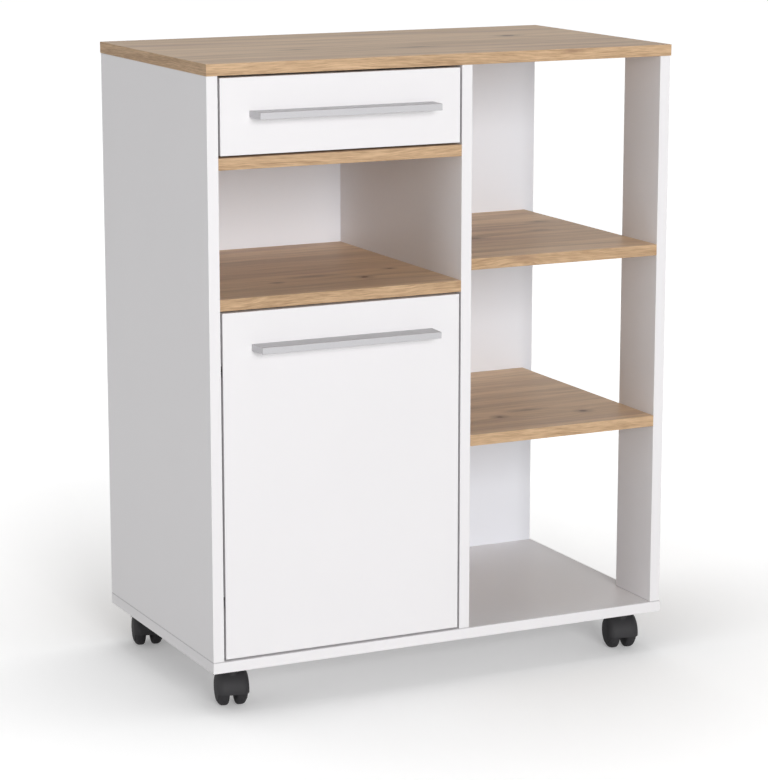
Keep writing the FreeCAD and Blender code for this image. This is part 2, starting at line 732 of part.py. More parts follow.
def castor_wheel(side):
    """A wheel with a rounded tread, a dished face and a blind bore for the axle."""
    bore = axle_radius + running_clearance
    shoulder_radius = wheel_radius - wheel_shoulder
    dish_x = wheel_outer_x - wheel_dish_depth
    dish_radius = shoulder_radius - wheel_dish_rim
    bore_end = wheel_outer_x - wheel_dish_depth - wheel_face_thickness
    inner_top = wheel_inner_x + wheel_inner_shoulder
    rim_lip = dish_radius + wheel_dish_depth
    hub_lip = wheel_hub_radius - wheel_dish_depth
    return turned([
        line((side * wheel_inner_x, bore), (side * wheel_inner_x, wheel_radius - wheel_inner_shoulder)),
        corner_arc(side * inner_top, wheel_radius - wheel_inner_shoulder, wheel_inner_shoulder, -side),
        line((side * inner_top, wheel_radius), (side * crown_half, wheel_radius)),
        corner_arc(side * crown_half, shoulder_radius, wheel_shoulder, side),
        line((side * wheel_outer_x, shoulder_radius), (side * wheel_outer_x, rim_lip)),
        line((side * wheel_outer_x, rim_lip), (side * dish_x, dish_radius)),
        line((side * dish_x, dish_radius), (side * dish_x, wheel_hub_radius)),
        line((side * dish_x, wheel_hub_radius), (side * wheel_outer_x, hub_lip)),
        line((side * wheel_outer_x, hub_lip), (side * wheel_outer_x, 0)),
        line((side * wheel_outer_x, 0), (side * bore_end, 0)),
        line((side * bore_end, 0), (side * bore_end, bore)),
        line((side * bore_end, bore), (side * wheel_inner_x, bore)),
    ], 360)


def castor_plate():
    """The castor's mounting plate, with a hole for the kingpin."""
    half = castor_plate_size / 2
    plate = block((-half, half), (-half, half), (castor_plate_z, bottom_z))
    upright_edges = [edge for edge in plate.Edges if abs(edge.tangentAt(edge.FirstParameter).z) > 0.5]
    plate = plate.makeFillet(castor_plate_corner, upright_edges)
    hole = rod(kingpin_radius + fit_clearance, Vector(0, 0, castor_plate_z), Z_AXIS, castor_plate_thickness)
    return plate.cut(hole)


def castors():
    """Four castors under the bottom panel, all turned the same way by the last push."""
    axle_half = wheel_outer_x - wheel_dish_depth - wheel_face_thickness - wheel_side_gap
    axle = rod(axle_radius, axle_point(-axle_half, 0), X_AXIS, 2 * axle_half)
    shapes = {
        "hood": castor_hood(),
        "axle": axle,
        "left_wheel": castor_wheel(-1),
        "right_wheel": castor_wheel(1),
    }
    plate = castor_plate()
    kingpin_foot = Vector(0, 0, castor_plate_z - kingpin_length)
    kingpin = rod(kingpin_radius, kingpin_foot, Z_AXIS, kingpin_length + castor_plate_thickness)
    for place, (x, y) in castor_places.items():
        offset = Vector(x, y, 0)
        for name, shape in shapes.items():
            add(place + "_castor_" + name, shape.rotated(Vector(), Z_AXIS, castor_turn).translated(offset))
        add("castor_plates", plate.translated(offset))
        add("castor_kingpins", kingpin.translated(offset))
        for side_x in (-1, 1):
            for side_y in (-1, 1):
                corner = Vector(side_x, side_y, 0) * (castor_screw_spacing / 2)
                seat = offset + corner + Vector(0, 0, castor_plate_z)
                mount_screw(["bottom_panel", "castor_plates"], seat, Z_AXIS)


def main():
    """Builds every piece and writes one file for each node."""
    carcass_boards()
    loose_shelf()
    carcass_fittings()
    back_panel_nails()
    drawer()
    runner("left", left_bay_x, X_AXIS, "left_side_panel", "drawer_left_side")
    runner("right", divider_x, X_AXIS * -1, "divider_panel", "drawer_right_side")
    door()
    castors()
    os.makedirs("parts", exist_ok=True)
    for node, solids in pieces.items():
        shape = Part.makeCompound(solids) if len(solids) > 1 else solids[0]
        if node in cuts:
            shape = shape.cut(cuts[node])
        shape.exportStep("parts/" + node + ".step")


if __name__ == "__main__":
    main()
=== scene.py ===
"""Kitchen sideboard on castors: finishes, detailed fittings and studio.

Lengths are in metres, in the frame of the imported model: X runs across the front,
Y from front to back and Z up, with the origin on the floor.
"""

import json
import math

import bmesh
import bpy
from bpy.props import FloatProperty, FloatVectorProperty, PointerProperty
from mathutils import Matrix, Vector


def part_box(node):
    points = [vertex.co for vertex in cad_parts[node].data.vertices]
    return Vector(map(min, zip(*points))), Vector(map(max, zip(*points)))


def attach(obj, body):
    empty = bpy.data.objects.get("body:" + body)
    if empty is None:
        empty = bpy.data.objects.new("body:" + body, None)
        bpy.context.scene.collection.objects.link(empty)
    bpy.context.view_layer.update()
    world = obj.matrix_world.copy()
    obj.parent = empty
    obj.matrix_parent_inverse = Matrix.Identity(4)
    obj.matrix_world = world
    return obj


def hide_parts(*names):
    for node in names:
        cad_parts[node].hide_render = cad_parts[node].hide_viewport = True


bl_info = {
    "name": "Kitchen Sideboard",
    "version": (1, 0, 0),
    "blender": (4, 5, 0),
    "location": "View3D > Sidebar > Sideboard",
    "description": "Finishes, fittings and studio for a kitchen sideboard on castors",
    "category": "Object",
}

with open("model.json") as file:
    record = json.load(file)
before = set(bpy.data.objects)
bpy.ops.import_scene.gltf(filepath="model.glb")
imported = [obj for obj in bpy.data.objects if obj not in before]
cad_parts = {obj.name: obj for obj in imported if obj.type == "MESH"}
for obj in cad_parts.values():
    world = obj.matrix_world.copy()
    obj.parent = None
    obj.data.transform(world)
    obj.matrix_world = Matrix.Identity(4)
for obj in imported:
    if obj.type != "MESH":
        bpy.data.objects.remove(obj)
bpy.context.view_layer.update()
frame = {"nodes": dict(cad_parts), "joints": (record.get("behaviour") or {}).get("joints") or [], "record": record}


def colour(name, description, default):
    """A colour that a user can change."""
    return FloatVectorProperty(name=name, description=description, default=default,
                               subtype="COLOR", size=3, min=0.0, max=1.0)


def length(name, description, default):
    """A length in metres that a user can change."""
    return FloatProperty(name=name, description=description, default=default,
                         subtype="DISTANCE", unit="LENGTH", precision=5)


def share(name, description, default):
    """A share between nothing and all that a user can change."""
    return FloatProperty(name=name, description=description, default=default,
                         subtype="FACTOR", min=0.0, max=1.0)


def angle(name, description, degrees):
    """An angle that a user can change, given in degrees."""
    return FloatProperty(name=name, description=description, default=math.radians(degrees), subtype="ANGLE")


class OakSettings(bpy.types.PropertyGroup):
    """Colours and figure of the oak film on the top and the shelves."""

    face_light: colour("Light grain", "Light bands of the broad faces", (0.84, 0.615, 0.415))
    face_dark: colour("Dark grain", "Dark bands of the broad faces", (0.475, 0.32, 0.205))
    edge_light: colour("Light edge band", "Light streaks of the edge bands", (0.685, 0.472, 0.29))
    edge_dark: colour("Dark edge band", "Dark streaks of the edge bands", (0.385, 0.245, 0.14))
    blush: colour("Blush", "Reddish clouds between the grain bands", (0.47, 0.305, 0.225))
    knot_ring: colour("Knot ring", "Brown wood round a knot", (0.32, 0.195, 0.13))
    knot_heart: colour("Knot heart", "Dark heart of a knot", (0.115, 0.058, 0.035))
    plank: length("Plank width", "Width of the printed planks", 0.104)
    ring_pitch: length("Ring pitch", "Distance between growth rings", 0.0125)
    gloss: share("Roughness", "Roughness of the film", 0.46)


class WhiteSettings(bpy.types.PropertyGroup):
    """White film of the body, the fronts and the drawer, and the thin panels."""

    film: colour("White film", "Colour of the white boards", (0.872, 0.856, 0.868))
    shade: colour("White shade", "Faint clouds in the white film", (0.846, 0.832, 0.844))
    lacquer: colour("White lacquer", "Cooler white of the thin panels", (0.835, 0.846, 0.893))
    lacquer_shade: colour("Lacquer shade", "Faint clouds in the white lacquer", (0.81, 0.821, 0.867))
    seam: colour("Seam", "Glue line between a face and its edge band", (0.60, 0.585, 0.585))
    # Painted shade with some dust: a dark line standing in for the shadow in the groove where boards stand on the
    # bottom board
    joint: colour("Joint", "Shaded line where boards stand on the bottom board", (0.36, 0.35, 0.36))
    joint_shade_width: length("Joint width", "Width of the shaded line", 0.0018)
    fibre_light: colour("Light fibre", "Light flecks of the bare fibreboard", (0.43, 0.29, 0.175))
    fibre_dark: colour("Dark fibre", "Dark flecks of the bare fibreboard", (0.285, 0.185, 0.11))
    peel: length("Peel size", "Size of the fine dimples in the film", 0.0016)
    gloss: share("Roughness", "Roughness of the film", 0.40)


class MetalSettings(bpy.types.PropertyGroup):
    """Handles, screws, hinges, runners and rollers."""

    handle: colour("Handle", "Matt silver of the handles", (0.50, 0.495, 0.51))
    zinc: colour("Zinc", "Plated screws, pins and plates", (0.56, 0.57, 0.59))
    nickel: colour("Nickel", "Plated hinges", (0.66, 0.645, 0.615))
    powder: colour("Powder coat", "White coat of the runners", (0.80, 0.80, 0.79))
    nylon: colour("Nylon", "Runner rollers", (0.78, 0.77, 0.72))
    beech: colour("Beech", "Wooden dowels", (0.62, 0.43, 0.26))
    handle_gloss: share("Handle roughness", "Roughness of the handles", 0.5)
    plated_gloss: share("Plated roughness", "Roughness of plated steel", 0.30)


class CastorSettings(bpy.types.PropertyGroup):
    """Black moulded castors."""

    wheel_radius: length("Wheel radius", "Radius of the tread", 0.025)
    crown_half: length("Crown half width", "Half width of the straight crown of the hood", 0.0129)
    hood_radius: length("Hood radius", "Outer radius of the hood about the axle", 0.028)
    hood_wall: length("Hood wall", "Thickness of the hood", 0.0018)
    shoulder: length("Hood shoulder", "Rounding of the hood's outer shoulders", 0.010)
    web_half: length("Web half width", "Half thickness of the web between the wheels", 0.0013)
    hub_radius: length("Hub radius", "Radius of the hood's hub round the axle", 0.0074)
    hub_rise: length("Hub rise", "Step from the web to the face of its hub", 0.00015)
    axle_radius: length("Axle radius", "Radius of the axle", 0.003)
    boss_radius: length("Boss radius", "Radius of the swivel boss", 0.009)
    bore_radius: length("Bore radius", "Radius of the bore for the kingpin", 0.0041)
    sleeve_radius: length("Sleeve radius", "Radius of the sleeve round the bore", 0.0049)
    sleeve_floor: length("Sleeve floor", "Thickness of the sleeve's floor under the kingpin", 0.0006)
    swivel_gap: length("Swivel gap", "Gap between the boss and the plate", 0.0003)
    front_reach: angle("Front reach", "How far the hood reaches down in front", 98.0)
    rear_reach: angle("Rear reach", "How far the hood reaches down behind", 48.0)
    hood: colour("Hood", "Moulded body of a castor", (0.030, 0.029, 0.031))
    tread: colour("Tread", "Running surface of the wheels", (0.024, 0.023, 0.025))
    dust: colour("Dust", "Pale bloom on the moulded plastic", (0.046, 0.045, 0.047))
    gloss: share("Roughness", "Roughness of the moulded plastic", 0.62)


class FastenerSettings(bpy.types.PropertyGroup):
    """Driver recesses and points of the screws and the cam locks."""

    rim: share("Head rim", "Rounding of a screw's head, as a share of its height", 0.45)
    cross_arm: share("Cross arm", "Reach of a screw's cross, as a share of its head's radius", 0.60)
    cross_slot: share("Cross slot", "Half width of a screw's cross, as a share of its head's radius", 0.14)
    cross_depth: share("Cross depth", "Depth of a screw's recess, as a share of its head's height", 0.70)
    socket: share("Socket", "Radius of a hexagon socket, as a share of its head's radius", 0.50)
    point: length("Point", "Length of a screw's tapered point", 0.004)
    cam_arm: length("Lock arm", "Reach of a cam lock's cross", 0.0044)
    cam_slot: length("Lock slot", "Half width of a cam lock's cross", 0.0008)
    cam_depth: length("Lock depth", "Depth of a cam lock's cross", 0.0030)


class StageSettings(bpy.types.PropertyGroup):
    """Camera, lamps and floor."""

    lens: FloatProperty(name="Lens", description="Focal length", default=129.8, unit="CAMERA")
    azimuth: angle("Azimuth", "Turn of the camera round the part", -25.955)
    elevation: angle("Elevation", "Height of the camera above the horizon", 11.789)
    distance: length("Distance", "From the camera to its target", 4.0884)
    target: FloatVectorProperty(name="Target", description="Point that the camera looks at",
                                default=(-0.00828, 0.0, 0.39405), subtype="TRANSLATION", unit="LENGTH")
    ambient: share("Ambient", "Even light from all round", 0.23)
    front: share("Front lamp", "Light of the broad front lamp", 0.64)
    side: share("Side lamp", "Light of the lamp beside the left panel", 0.19)
    above: share("Top lamp", "Light of the overhead lamp on the top", 0.07)
    lamp_distance: length("Lamp distance", "From each lamp to the part", 8.0)
    lamp_size: length("Lamp size", "Side of each lamp", 3.0)
    floor: colour("Floor", "Pale floor", (0.86, 0.86, 0.86))
    floor_radius: length("Floor radius", "Reach of the floor", 14.0)
    floor_lift: share("Floor lift", "Plain white that the camera sees on the open floor", 0.83)
    # Painted soft shadow on the floor: near the part, the glow that the camera sees fades from the floor lift down
    # to the shadow lift
    shadow_lift: share("Shadow lift", "Plain white that the camera sees under the part", 0.23)
    shadow_reach: length("Shadow reach", "How far the soft shadow spreads over the floor", 1.3)
    shadow_depth: FloatProperty(name="Shadow depth", default=4.0, min=0.0,
                                description="How fast the soft shadow deepens near the part")


def rgba(value, strength=1.0):
    """A colour with full cover, at a share of its strength."""
    return (*[part * strength for part in value], 1.0)


def fill(tree, inputs, values):
    """Fills or links inputs by name or number."""
    for key, value in values.items():
        if isinstance(value, bpy.types.NodeSocket):
            tree.links.new(value, inputs[key])
        else:
            inputs[key].default_value = value


def node(tree, kind, inputs=None, **settings):
    """Adds a shader node with its settings and its inputs."""
    new = tree.nodes.new("ShaderNode" + kind)
    for name, value in settings.items():
        setattr(new, name, value)
    fill(tree, new.inputs, inputs or {})
    return new


def maths(tree, operation, *values):
    """The result of a sum on numbers."""
    return node(tree, "Math", dict(enumerate(values)), operation=operation).outputs[0]


def vector_maths(tree, operation, *values):
    """The result of a sum on vectors."""
    return node(tree, "VectorMath", dict(enumerate(values)), operation=operation).outputs[0]


def mixed(tree, factor, first, second):
    """A colour between two others."""
    return node(tree, "Mix", {0: factor, 6: first, 7: second}, data_type="RGBA").outputs[2]


def covered(tree, under, over, mask, strength):
    """A colour that another one covers where a mask shows, at a share of full strength."""
    return mixed(tree, maths(tree, "MULTIPLY", mask, strength), under, rgba(over))


def chosen(tree, factor, first, second):
    """A vector between two others."""
    return node(tree, "Mix", {0: factor, 4: first, 5: second}, data_type="VECTOR").outputs[1]


def chosen_number(tree, factor, first, second):
    """A number between two others."""
    return node(tree, "Mix", {0: factor, 2: first, 3: second}, data_type="FLOAT").outputs[0]


def eased(tree, value, start, end, low=0.0, high=1.0):
    """A smooth step from low at the start to high at the end."""
    inputs = {"Value": value, "From Min": start, "From Max": end, "To Min": low, "To Max": high}
    return node(tree, "MapRange", inputs, interpolation_type="SMOOTHSTEP").outputs["Result"]


def noise(tree, place, repeats=1.0, detail=2.0, roughness=0.5):
    """A soft random pattern, with its repeats per metre along all axes or along each of them."""
    if isinstance(repeats, tuple):
        place, repeats = vector_maths(tree, "MULTIPLY", place, repeats), 1.0
    inputs = {"Vector": place, "Scale": repeats, "Detail": detail, "Roughness": roughness}
    return node(tree, "TexNoise", inputs).outputs["Fac"]


def swung(tree, pattern, amount, middle=0.5):
    """A pattern's swing about its middle, times an amount."""
    return maths(tree, "MULTIPLY", maths(tree, "SUBTRACT", pattern, middle), amount)


def object_place(tree):
    """Object coordinates, which are the frame's metres."""
    return node(tree, "TexCoord").outputs["Object"]


def group_tree(name, inputs, outputs):
    """A new node group with named sockets, its input sockets and its output node."""
    tree = bpy.data.node_groups.new(name, "ShaderNodeTree")
    for socket, kind in inputs.items():
        tree.interface.new_socket(name=socket, in_out="INPUT", socket_type="NodeSocket" + kind)
    for socket, kind in outputs.items():
        tree.interface.new_socket(name=socket, in_out="OUTPUT", socket_type="NodeSocket" + kind)
    given = tree.nodes.new("NodeGroupInput").outputs
    result = tree.nodes.new("NodeGroupOutput")
    return tree, given, result


def send(tree, result, values):
    """Links values to the outputs of a group."""
    for name, value in values.items():
        tree.links.new(value, result.inputs[name])


def placed(tree, group, inputs=None):
    """The outputs of a node group placed in a tree."""
    return node(tree, "Group", inputs, node_tree=bpy.data.node_groups[group]).outputs


BOARD_EDGES = "Board Edges"
OAK_KNOT = "Oak Knot"
FINE_PEEL = "Fine Peel"
DRAWN_METAL = "Drawn Metal"


# How much of a normal lies along one axis where a board's rounded edge begins, and in its middle
FLAT_NORMAL = 0.93
ROUNDED_NORMAL = 0.78


def board_edges_group():
    """Masks of a board's edge bands, and of the rounding where a band meets a face."""
    tree, _, result = group_tree(BOARD_EDGES, {}, {"Front": "Float", "End": "Float", "Seam": "Float"})
    normal = vector_maths(tree, "ABSOLUTE", node(tree, "TexCoord").outputs["Normal"])
    x, y, z = node(tree, "SeparateXYZ", {0: normal}).outputs
    largest = maths(tree, "MAXIMUM", maths(tree, "MAXIMUM", x, y), z)
    halfway = math.cos(math.radians(45))
    send(tree, result, {
        "Front": maths(tree, "GREATER_THAN", y, halfway),
        "End": maths(tree, "GREATER_THAN", x, halfway),
        "Seam": eased(tree, largest, FLAT_NORMAL, ROUNDED_NORMAL),
    })


# Distances from a knot's middle, in shares of its reach, where its heart and its ring end and are full
HEART_END = 0.9
HEART_FULL = 0.3
RING_END = 2.4
RING_FULL = 0.7

# How fast a knot's push on the grain dies away
PUSH_FALL = 0.16


def oak_knot_group():
    """A knot's dark heart, its brown ring and its push on the grain beside it."""
    tree, given, result = group_tree(
        OAK_KNOT,
        {"Place": "Vector", "Centre": "Vector", "Reach": "Vector", "Ragged": "Float"},
        {"Heart": "Float", "Ring": "Float", "Push": "Float"},
    )
    offset = vector_maths(tree, "SUBTRACT", given["Place"], given["Centre"])
    offset = vector_maths(tree, "DIVIDE", offset, given["Reach"])
    reach = node(tree, "VectorMath", {0: offset}, operation="LENGTH").outputs["Value"]
    reach = maths(tree, "ADD", reach, given["Ragged"])
    across = node(tree, "SeparateXYZ", {0: offset}).outputs["Y"]
    fall = maths(tree, "EXPONENT", maths(tree, "MULTIPLY", maths(tree, "POWER", reach, 2.0), -PUSH_FALL))
    send(tree, result, {
        "Heart": eased(tree, reach, HEART_END, HEART_FULL),
        "Ring": eased(tree, reach, RING_END, RING_FULL),
        "Push": maths(tree, "MULTIPLY", across, fall),
    })


# Repeats per metre of the faint clouds in a skin, and of the soft mottle of metal
SKIN_CLOUDS = 5.5
METAL_MOTTLE = 700.0


def fine_peel_group():
    """Fine dimples of a film or a moulded skin, and faint clouds under them."""
    tree, given, result = group_tree(FINE_PEEL, {"Place": "Vector", "Size": "Float"},
                                     {"Height": "Float", "Clouds": "Float"})
    repeats = maths(tree, "DIVIDE", 1.0, given["Size"])
    send(tree, result, {
        "Height": noise(tree, given["Place"], repeats, detail=3.0, roughness=0.55),
        "Clouds": noise(tree, given["Place"], SKIN_CLOUDS, detail=3.0),
    })


def drawn_metal_group():
    """Fine lines drawn along a metal piece, and a soft mottle."""
    tree, given, result = group_tree(DRAWN_METAL, {"Place": "Vector", "Lines": "Vector"},
                                     {"Height": "Float", "Mottle": "Float"})
    lines = vector_maths(tree, "MULTIPLY", given["Place"], given["Lines"])
    send(tree, result, {
        "Height": noise(tree, lines, detail=2.0, roughness=0.6),
        "Mottle": noise(tree, given["Place"], METAL_MOTTLE, detail=3.0),
    })


def new_finish(name, roughness):
    """A material with its tree and its shader."""
    material = bpy.data.materials.new(name)
    material.use_nodes = True
    shader = material.node_tree.nodes["Principled BSDF"]
    shader.inputs["Roughness"].default_value = roughness
    return material, material.node_tree, shader


def bumped(tree, height, distance, strength=1.0):
    """A normal from a height pattern."""
    inputs = {"Height": height, "Distance": distance, "Strength": strength}
    return node(tree, "Bump", inputs).outputs["Normal"]


def varied(tree, roughness, pattern, swing):
    """A roughness that swings to both sides with a pattern."""
    return maths(tree, "ADD", roughness - swing, maths(tree, "MULTIPLY", pattern, 2 * swing))


# Knots on the boards' faces: place, half length, half width and darkness
FACE_KNOTS = {
    "top_panel": (
        (0.219, 0.052, 0.0150, 0.0100, 0.90),
        (0.012, -0.063, 0.0300, 0.0050, 0.80),
        (-0.157, -0.031, 0.0200, 0.0040, 0.45),
    ),
    "niche_shelf": (
        (-0.086, -0.098, 0.0085, 0.0075, 0.90),
        (-0.022, -0.047, 0.0070, 0.0050, 0.65),
        (-0.150, -0.062, 0.0260, 0.0065, 0.20),
        (-0.216, -0.090, 0.0070, 0.0050, 0.30),
    ),
    "right_upper_shelf": (
        (0.293, 0.088, 0.0120, 0.0060, 0.35),
        (0.253, 0.012, 0.0130, 0.0050, 0.15),
        (0.130, -0.018, 0.0120, 0.0070, 0.40),
    ),
    "right_lower_shelf": (
        (0.133, -0.094, 0.0085, 0.0075, 0.65),
        (0.262, -0.110, 0.0095, 0.0075, 0.75),
        (0.190, -0.068, 0.0220, 0.0055, 0.25),
    ),
}

# Knots on the front edge bands: place, rise above the underside, half length, half width and darkness
BAND_KNOTS = {
    "top_panel": ((0.196, 0.0125, 0.0110, 0.0020, 0.20),),
    "right_upper_shelf": ((0.120, 0.0120, 0.0130, 0.0032, 0.15),),
}

# Shifts that keep the figure of the bands apart from the figure of the faces
FRONT_SHIFT = 3.0
END_SHIFT = 5.0


def knot_places():
    """Centre, reach and darkness of every knot, in the figure's own axes."""
    depth = 0.006
    for board, knots in FACE_KNOTS.items():
        for x, y, half_length, half_width, darkness in knots:
            yield (x, y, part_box(board)[1].z), (half_length, half_width, depth), darkness
    for board, knots in BAND_KNOTS.items():
        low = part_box(board)[0]
        for x, rise, half_length, half_width, darkness in knots:
            yield (x, low.z + rise + FRONT_SHIFT, low.y), (half_length, half_width, depth), darkness


# Repeats per metre of the oak's patterns: along the grain, across it and through the board
OAK_REPEATS = {
    "ragged": (60, 140, 60),
    "warp": (1.7, 9, 9),
    "ripple": (11, 34, 20),
    "broad": (2.4, 40, 14),
    "fine": (9, 290, 19),
    "fibre": (30, 1500, 23),
    "dashes": (42, 820, 31),
    "ring_patches": (1.3, 8, 5),
    "blush": (2.3, 22, 8),
}

# How far the slow warp and the short ripples push the grain sideways
GRAIN_WARP = 0.05
GRAIN_RIPPLE = 0.010

# How far the broad bands bend the growth rings, in radians
RING_BEND = 7.0

# Steps per metre of height at which the planks take other tones
TONE_STEPS = 9.0

# Middle share of dark grain on the faces and on the edge bands
FACE_DARKNESS = 0.35
BAND_DARKNESS = 0.46


def grain_place(tree, edges):
    """Places turned so that the grain lies along X, also on the end bands, where it runs along Y."""
    place = object_place(tree)
    x, y, z = node(tree, "SeparateXYZ", {0: place}).outputs
    front_rise = maths(tree, "ADD", z, FRONT_SHIFT)
    end_rise = maths(tree, "ADD", z, END_SHIFT)
    front_place = node(tree, "CombineXYZ", {0: x, 1: front_rise, 2: y}).outputs[0]
    end_place = node(tree, "CombineXYZ", {0: y, 1: end_rise, 2: x}).outputs[0]
    grain = chosen(tree, edges["Front"], place, front_place)
    return chosen(tree, edges["End"], grain, end_place)


def oak_knots(tree, grain):
    """Hearts and rings of all knots, and their push on the grain beside them."""
    ragged = maths(tree, "SUBTRACT", noise(tree, grain, OAK_REPEATS["ragged"]), 0.5)
    heart, ring, push = 0.0, 0.0, 0.0
    for centre, reach, darkness in knot_places():
        knot = placed(tree, OAK_KNOT, {"Place": grain, "Centre": centre, "Reach": reach, "Ragged": ragged})
        heart = maths(tree, "MAXIMUM", heart, maths(tree, "MULTIPLY", knot["Heart"], darkness))
        ring = maths(tree, "MAXIMUM", ring, knot["Ring"])
        push = maths(tree, "ADD", push, maths(tree, "MULTIPLY", knot["Push"], reach[1]))
    return heart, ring, push


def bent_grain(tree, grain, push):
    """Places pushed sideways by the warp, the ripples and the knots."""
    warp = swung(tree, noise(tree, grain, OAK_REPEATS["warp"]), GRAIN_WARP)
    ripple = swung(tree, noise(tree, grain, OAK_REPEATS["ripple"]), GRAIN_RIPPLE)
    shift = maths(tree, "ADD", maths(tree, "ADD", warp, ripple), push)
    return vector_maths(tree, "ADD", grain, node(tree, "CombineXYZ", {1: shift}).outputs[0])


def growth_rings(tree, grain, bent, broad, pitch):
    """Waves across the grain, in patches."""
    across = node(tree, "SeparateXYZ", {0: bent}).outputs["Y"]
    turns = maths(tree, "MULTIPLY", across, math.tau / pitch)
    waves = maths(tree, "SINE", maths(tree, "ADD", turns, maths(tree, "MULTIPLY", broad, RING_BEND)))
    patches = eased(tree, noise(tree, grain, OAK_REPEATS["ring_patches"]), 0.42, 0.66)
    return maths(tree, "MULTIPLY", waves, patches)


def plank_tones(tree, grain, width):
    """A random tone for each printed plank."""
    _, across, level = node(tree, "SeparateXYZ", {0: grain}).outputs
    plank = maths(tree, "FLOOR", maths(tree, "DIVIDE", across, width))
    step = maths(tree, "FLOOR", maths(tree, "MULTIPLY", level, TONE_STEPS))
    cell = node(tree, "CombineXYZ", {0: plank, 1: step}).outputs[0]
    return node(tree, "TexWhiteNoise", {0: cell}, noise_dimensions="3D").outputs["Value"]


def streaks(tree, middle, swings):
    """A share of dark grain: its middle and the swings of several patterns about it."""
    total = middle
    for swing in swings:
        total = maths(tree, "ADD", total, swing)
    return node(tree, "Clamp", {0: total}).outputs[0]


def oak_finish(settings):
    """Oak film: planks, warped grain, growth rings, knots and streaked edge bands."""
    material, tree, shader = new_finish("oak_film", settings.gloss)
    edges = placed(tree, BOARD_EDGES)
    grain = grain_place(tree, edges)
    heart, ring, push = oak_knots(tree, grain)
    bent = bent_grain(tree, grain, push)
    broad = noise(tree, bent, OAK_REPEATS["broad"], detail=3.0, roughness=0.6)
    fine = noise(tree, bent, OAK_REPEATS["fine"], detail=5.0, roughness=0.7)
    fibre = noise(tree, bent, OAK_REPEATS["fibre"])
    dashes = noise(tree, bent, OAK_REPEATS["dashes"], detail=3.0, roughness=0.65)
    rings = growth_rings(tree, grain, bent, broad, settings.ring_pitch)
    tone = plank_tones(tree, grain, settings.plank)

    face_streak = streaks(tree, FACE_DARKNESS, (
        swung(tree, broad, 1.7), swung(tree, fine, 1.3), swung(tree, fibre, 0.6),
        swung(tree, rings, 0.12, middle=0.0), swung(tree, tone, 0.20)))
    band_streak = streaks(tree, BAND_DARKNESS, (
        swung(tree, broad, 1.2), swung(tree, fine, 1.6), swung(tree, fibre, 0.8),
        swung(tree, dashes, 2.2), swung(tree, tone, 0.25)))
    face = mixed(tree, face_streak, rgba(settings.face_light), rgba(settings.face_dark))
    blush = eased(tree, noise(tree, bent, OAK_REPEATS["blush"]), 0.5, 0.78, high=0.6)
    face = mixed(tree, blush, face, rgba(settings.blush))
    edge = mixed(tree, band_streak, rgba(settings.edge_light), rgba(settings.edge_dark))
    wood = mixed(tree, maths(tree, "MAXIMUM", edges["Front"], edges["End"]), face, edge)
    wood = covered(tree, wood, settings.knot_ring, ring, strength=0.45)
    wood = mixed(tree, heart, wood, rgba(settings.knot_heart))
    wood = covered(tree, wood, settings.edge_dark, edges["Seam"], strength=0.25)

    pores = eased(tree, fibre, 0.40, 0.30)
    height = maths(tree, "MULTIPLY", maths(tree, "SUBTRACT", fine, pores), 0.5)
    fill(tree, shader.inputs, {
        "Base Color": wood,
        "Roughness": varied(tree, settings.gloss, fine, swing=0.06),
        "Normal": bumped(tree, height, distance=0.00008),
        "Specular IOR Level": 0.14,
    })
    return material


def white_finish(settings):
    """White film with fine dimples, faint clouds, a hairline at the edge bands and a painted shade line where
    boards stand on the bottom board.
    """
    material, tree, shader = new_finish("white_film", settings.gloss)
    place = object_place(tree)
    peel = placed(tree, FINE_PEEL, {"Place": place, "Size": settings.peel})
    edges = placed(tree, BOARD_EDGES)
    film = mixed(tree, peel["Clouds"], rgba(settings.film), rgba(settings.shade))
    film = covered(tree, film, settings.seam, edges["Seam"], strength=0.30)
    # Painted shade with some dust: a dark line on side and front faces at the height of the bottom board's top, in
    # place of the groove's shadow
    height = node(tree, "SeparateXYZ", {0: place}).outputs["Z"]
    rise = maths(tree, "ABSOLUTE", maths(tree, "SUBTRACT", height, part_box("bottom_panel")[1].z))
    joint = eased(tree, rise, settings.joint_shade_width * 0.6, settings.joint_shade_width * 0.3)
    joint = maths(tree, "MULTIPLY", joint, maths(tree, "MAXIMUM", edges["Front"], edges["End"]))
    film = covered(tree, film, settings.joint, joint, strength=0.7)
    fill(tree, shader.inputs, {
        "Base Color": film,
        "Roughness": varied(tree, settings.gloss, peel["Height"], swing=0.05),
        "Normal": bumped(tree, peel["Height"], distance=0.00005, strength=0.6),
        "Specular IOR Level": 0.3,
    })
    return material


# Bare fibreboard: repeats per metre of its flecks and clumps, the clumps' share and its extra roughness
FIBRE_FLECKS = 900.0
FIBRE_CLUMPS = 60.0
CLUMP_SHARE = 0.25
BARE_ROUGHNESS = 0.38


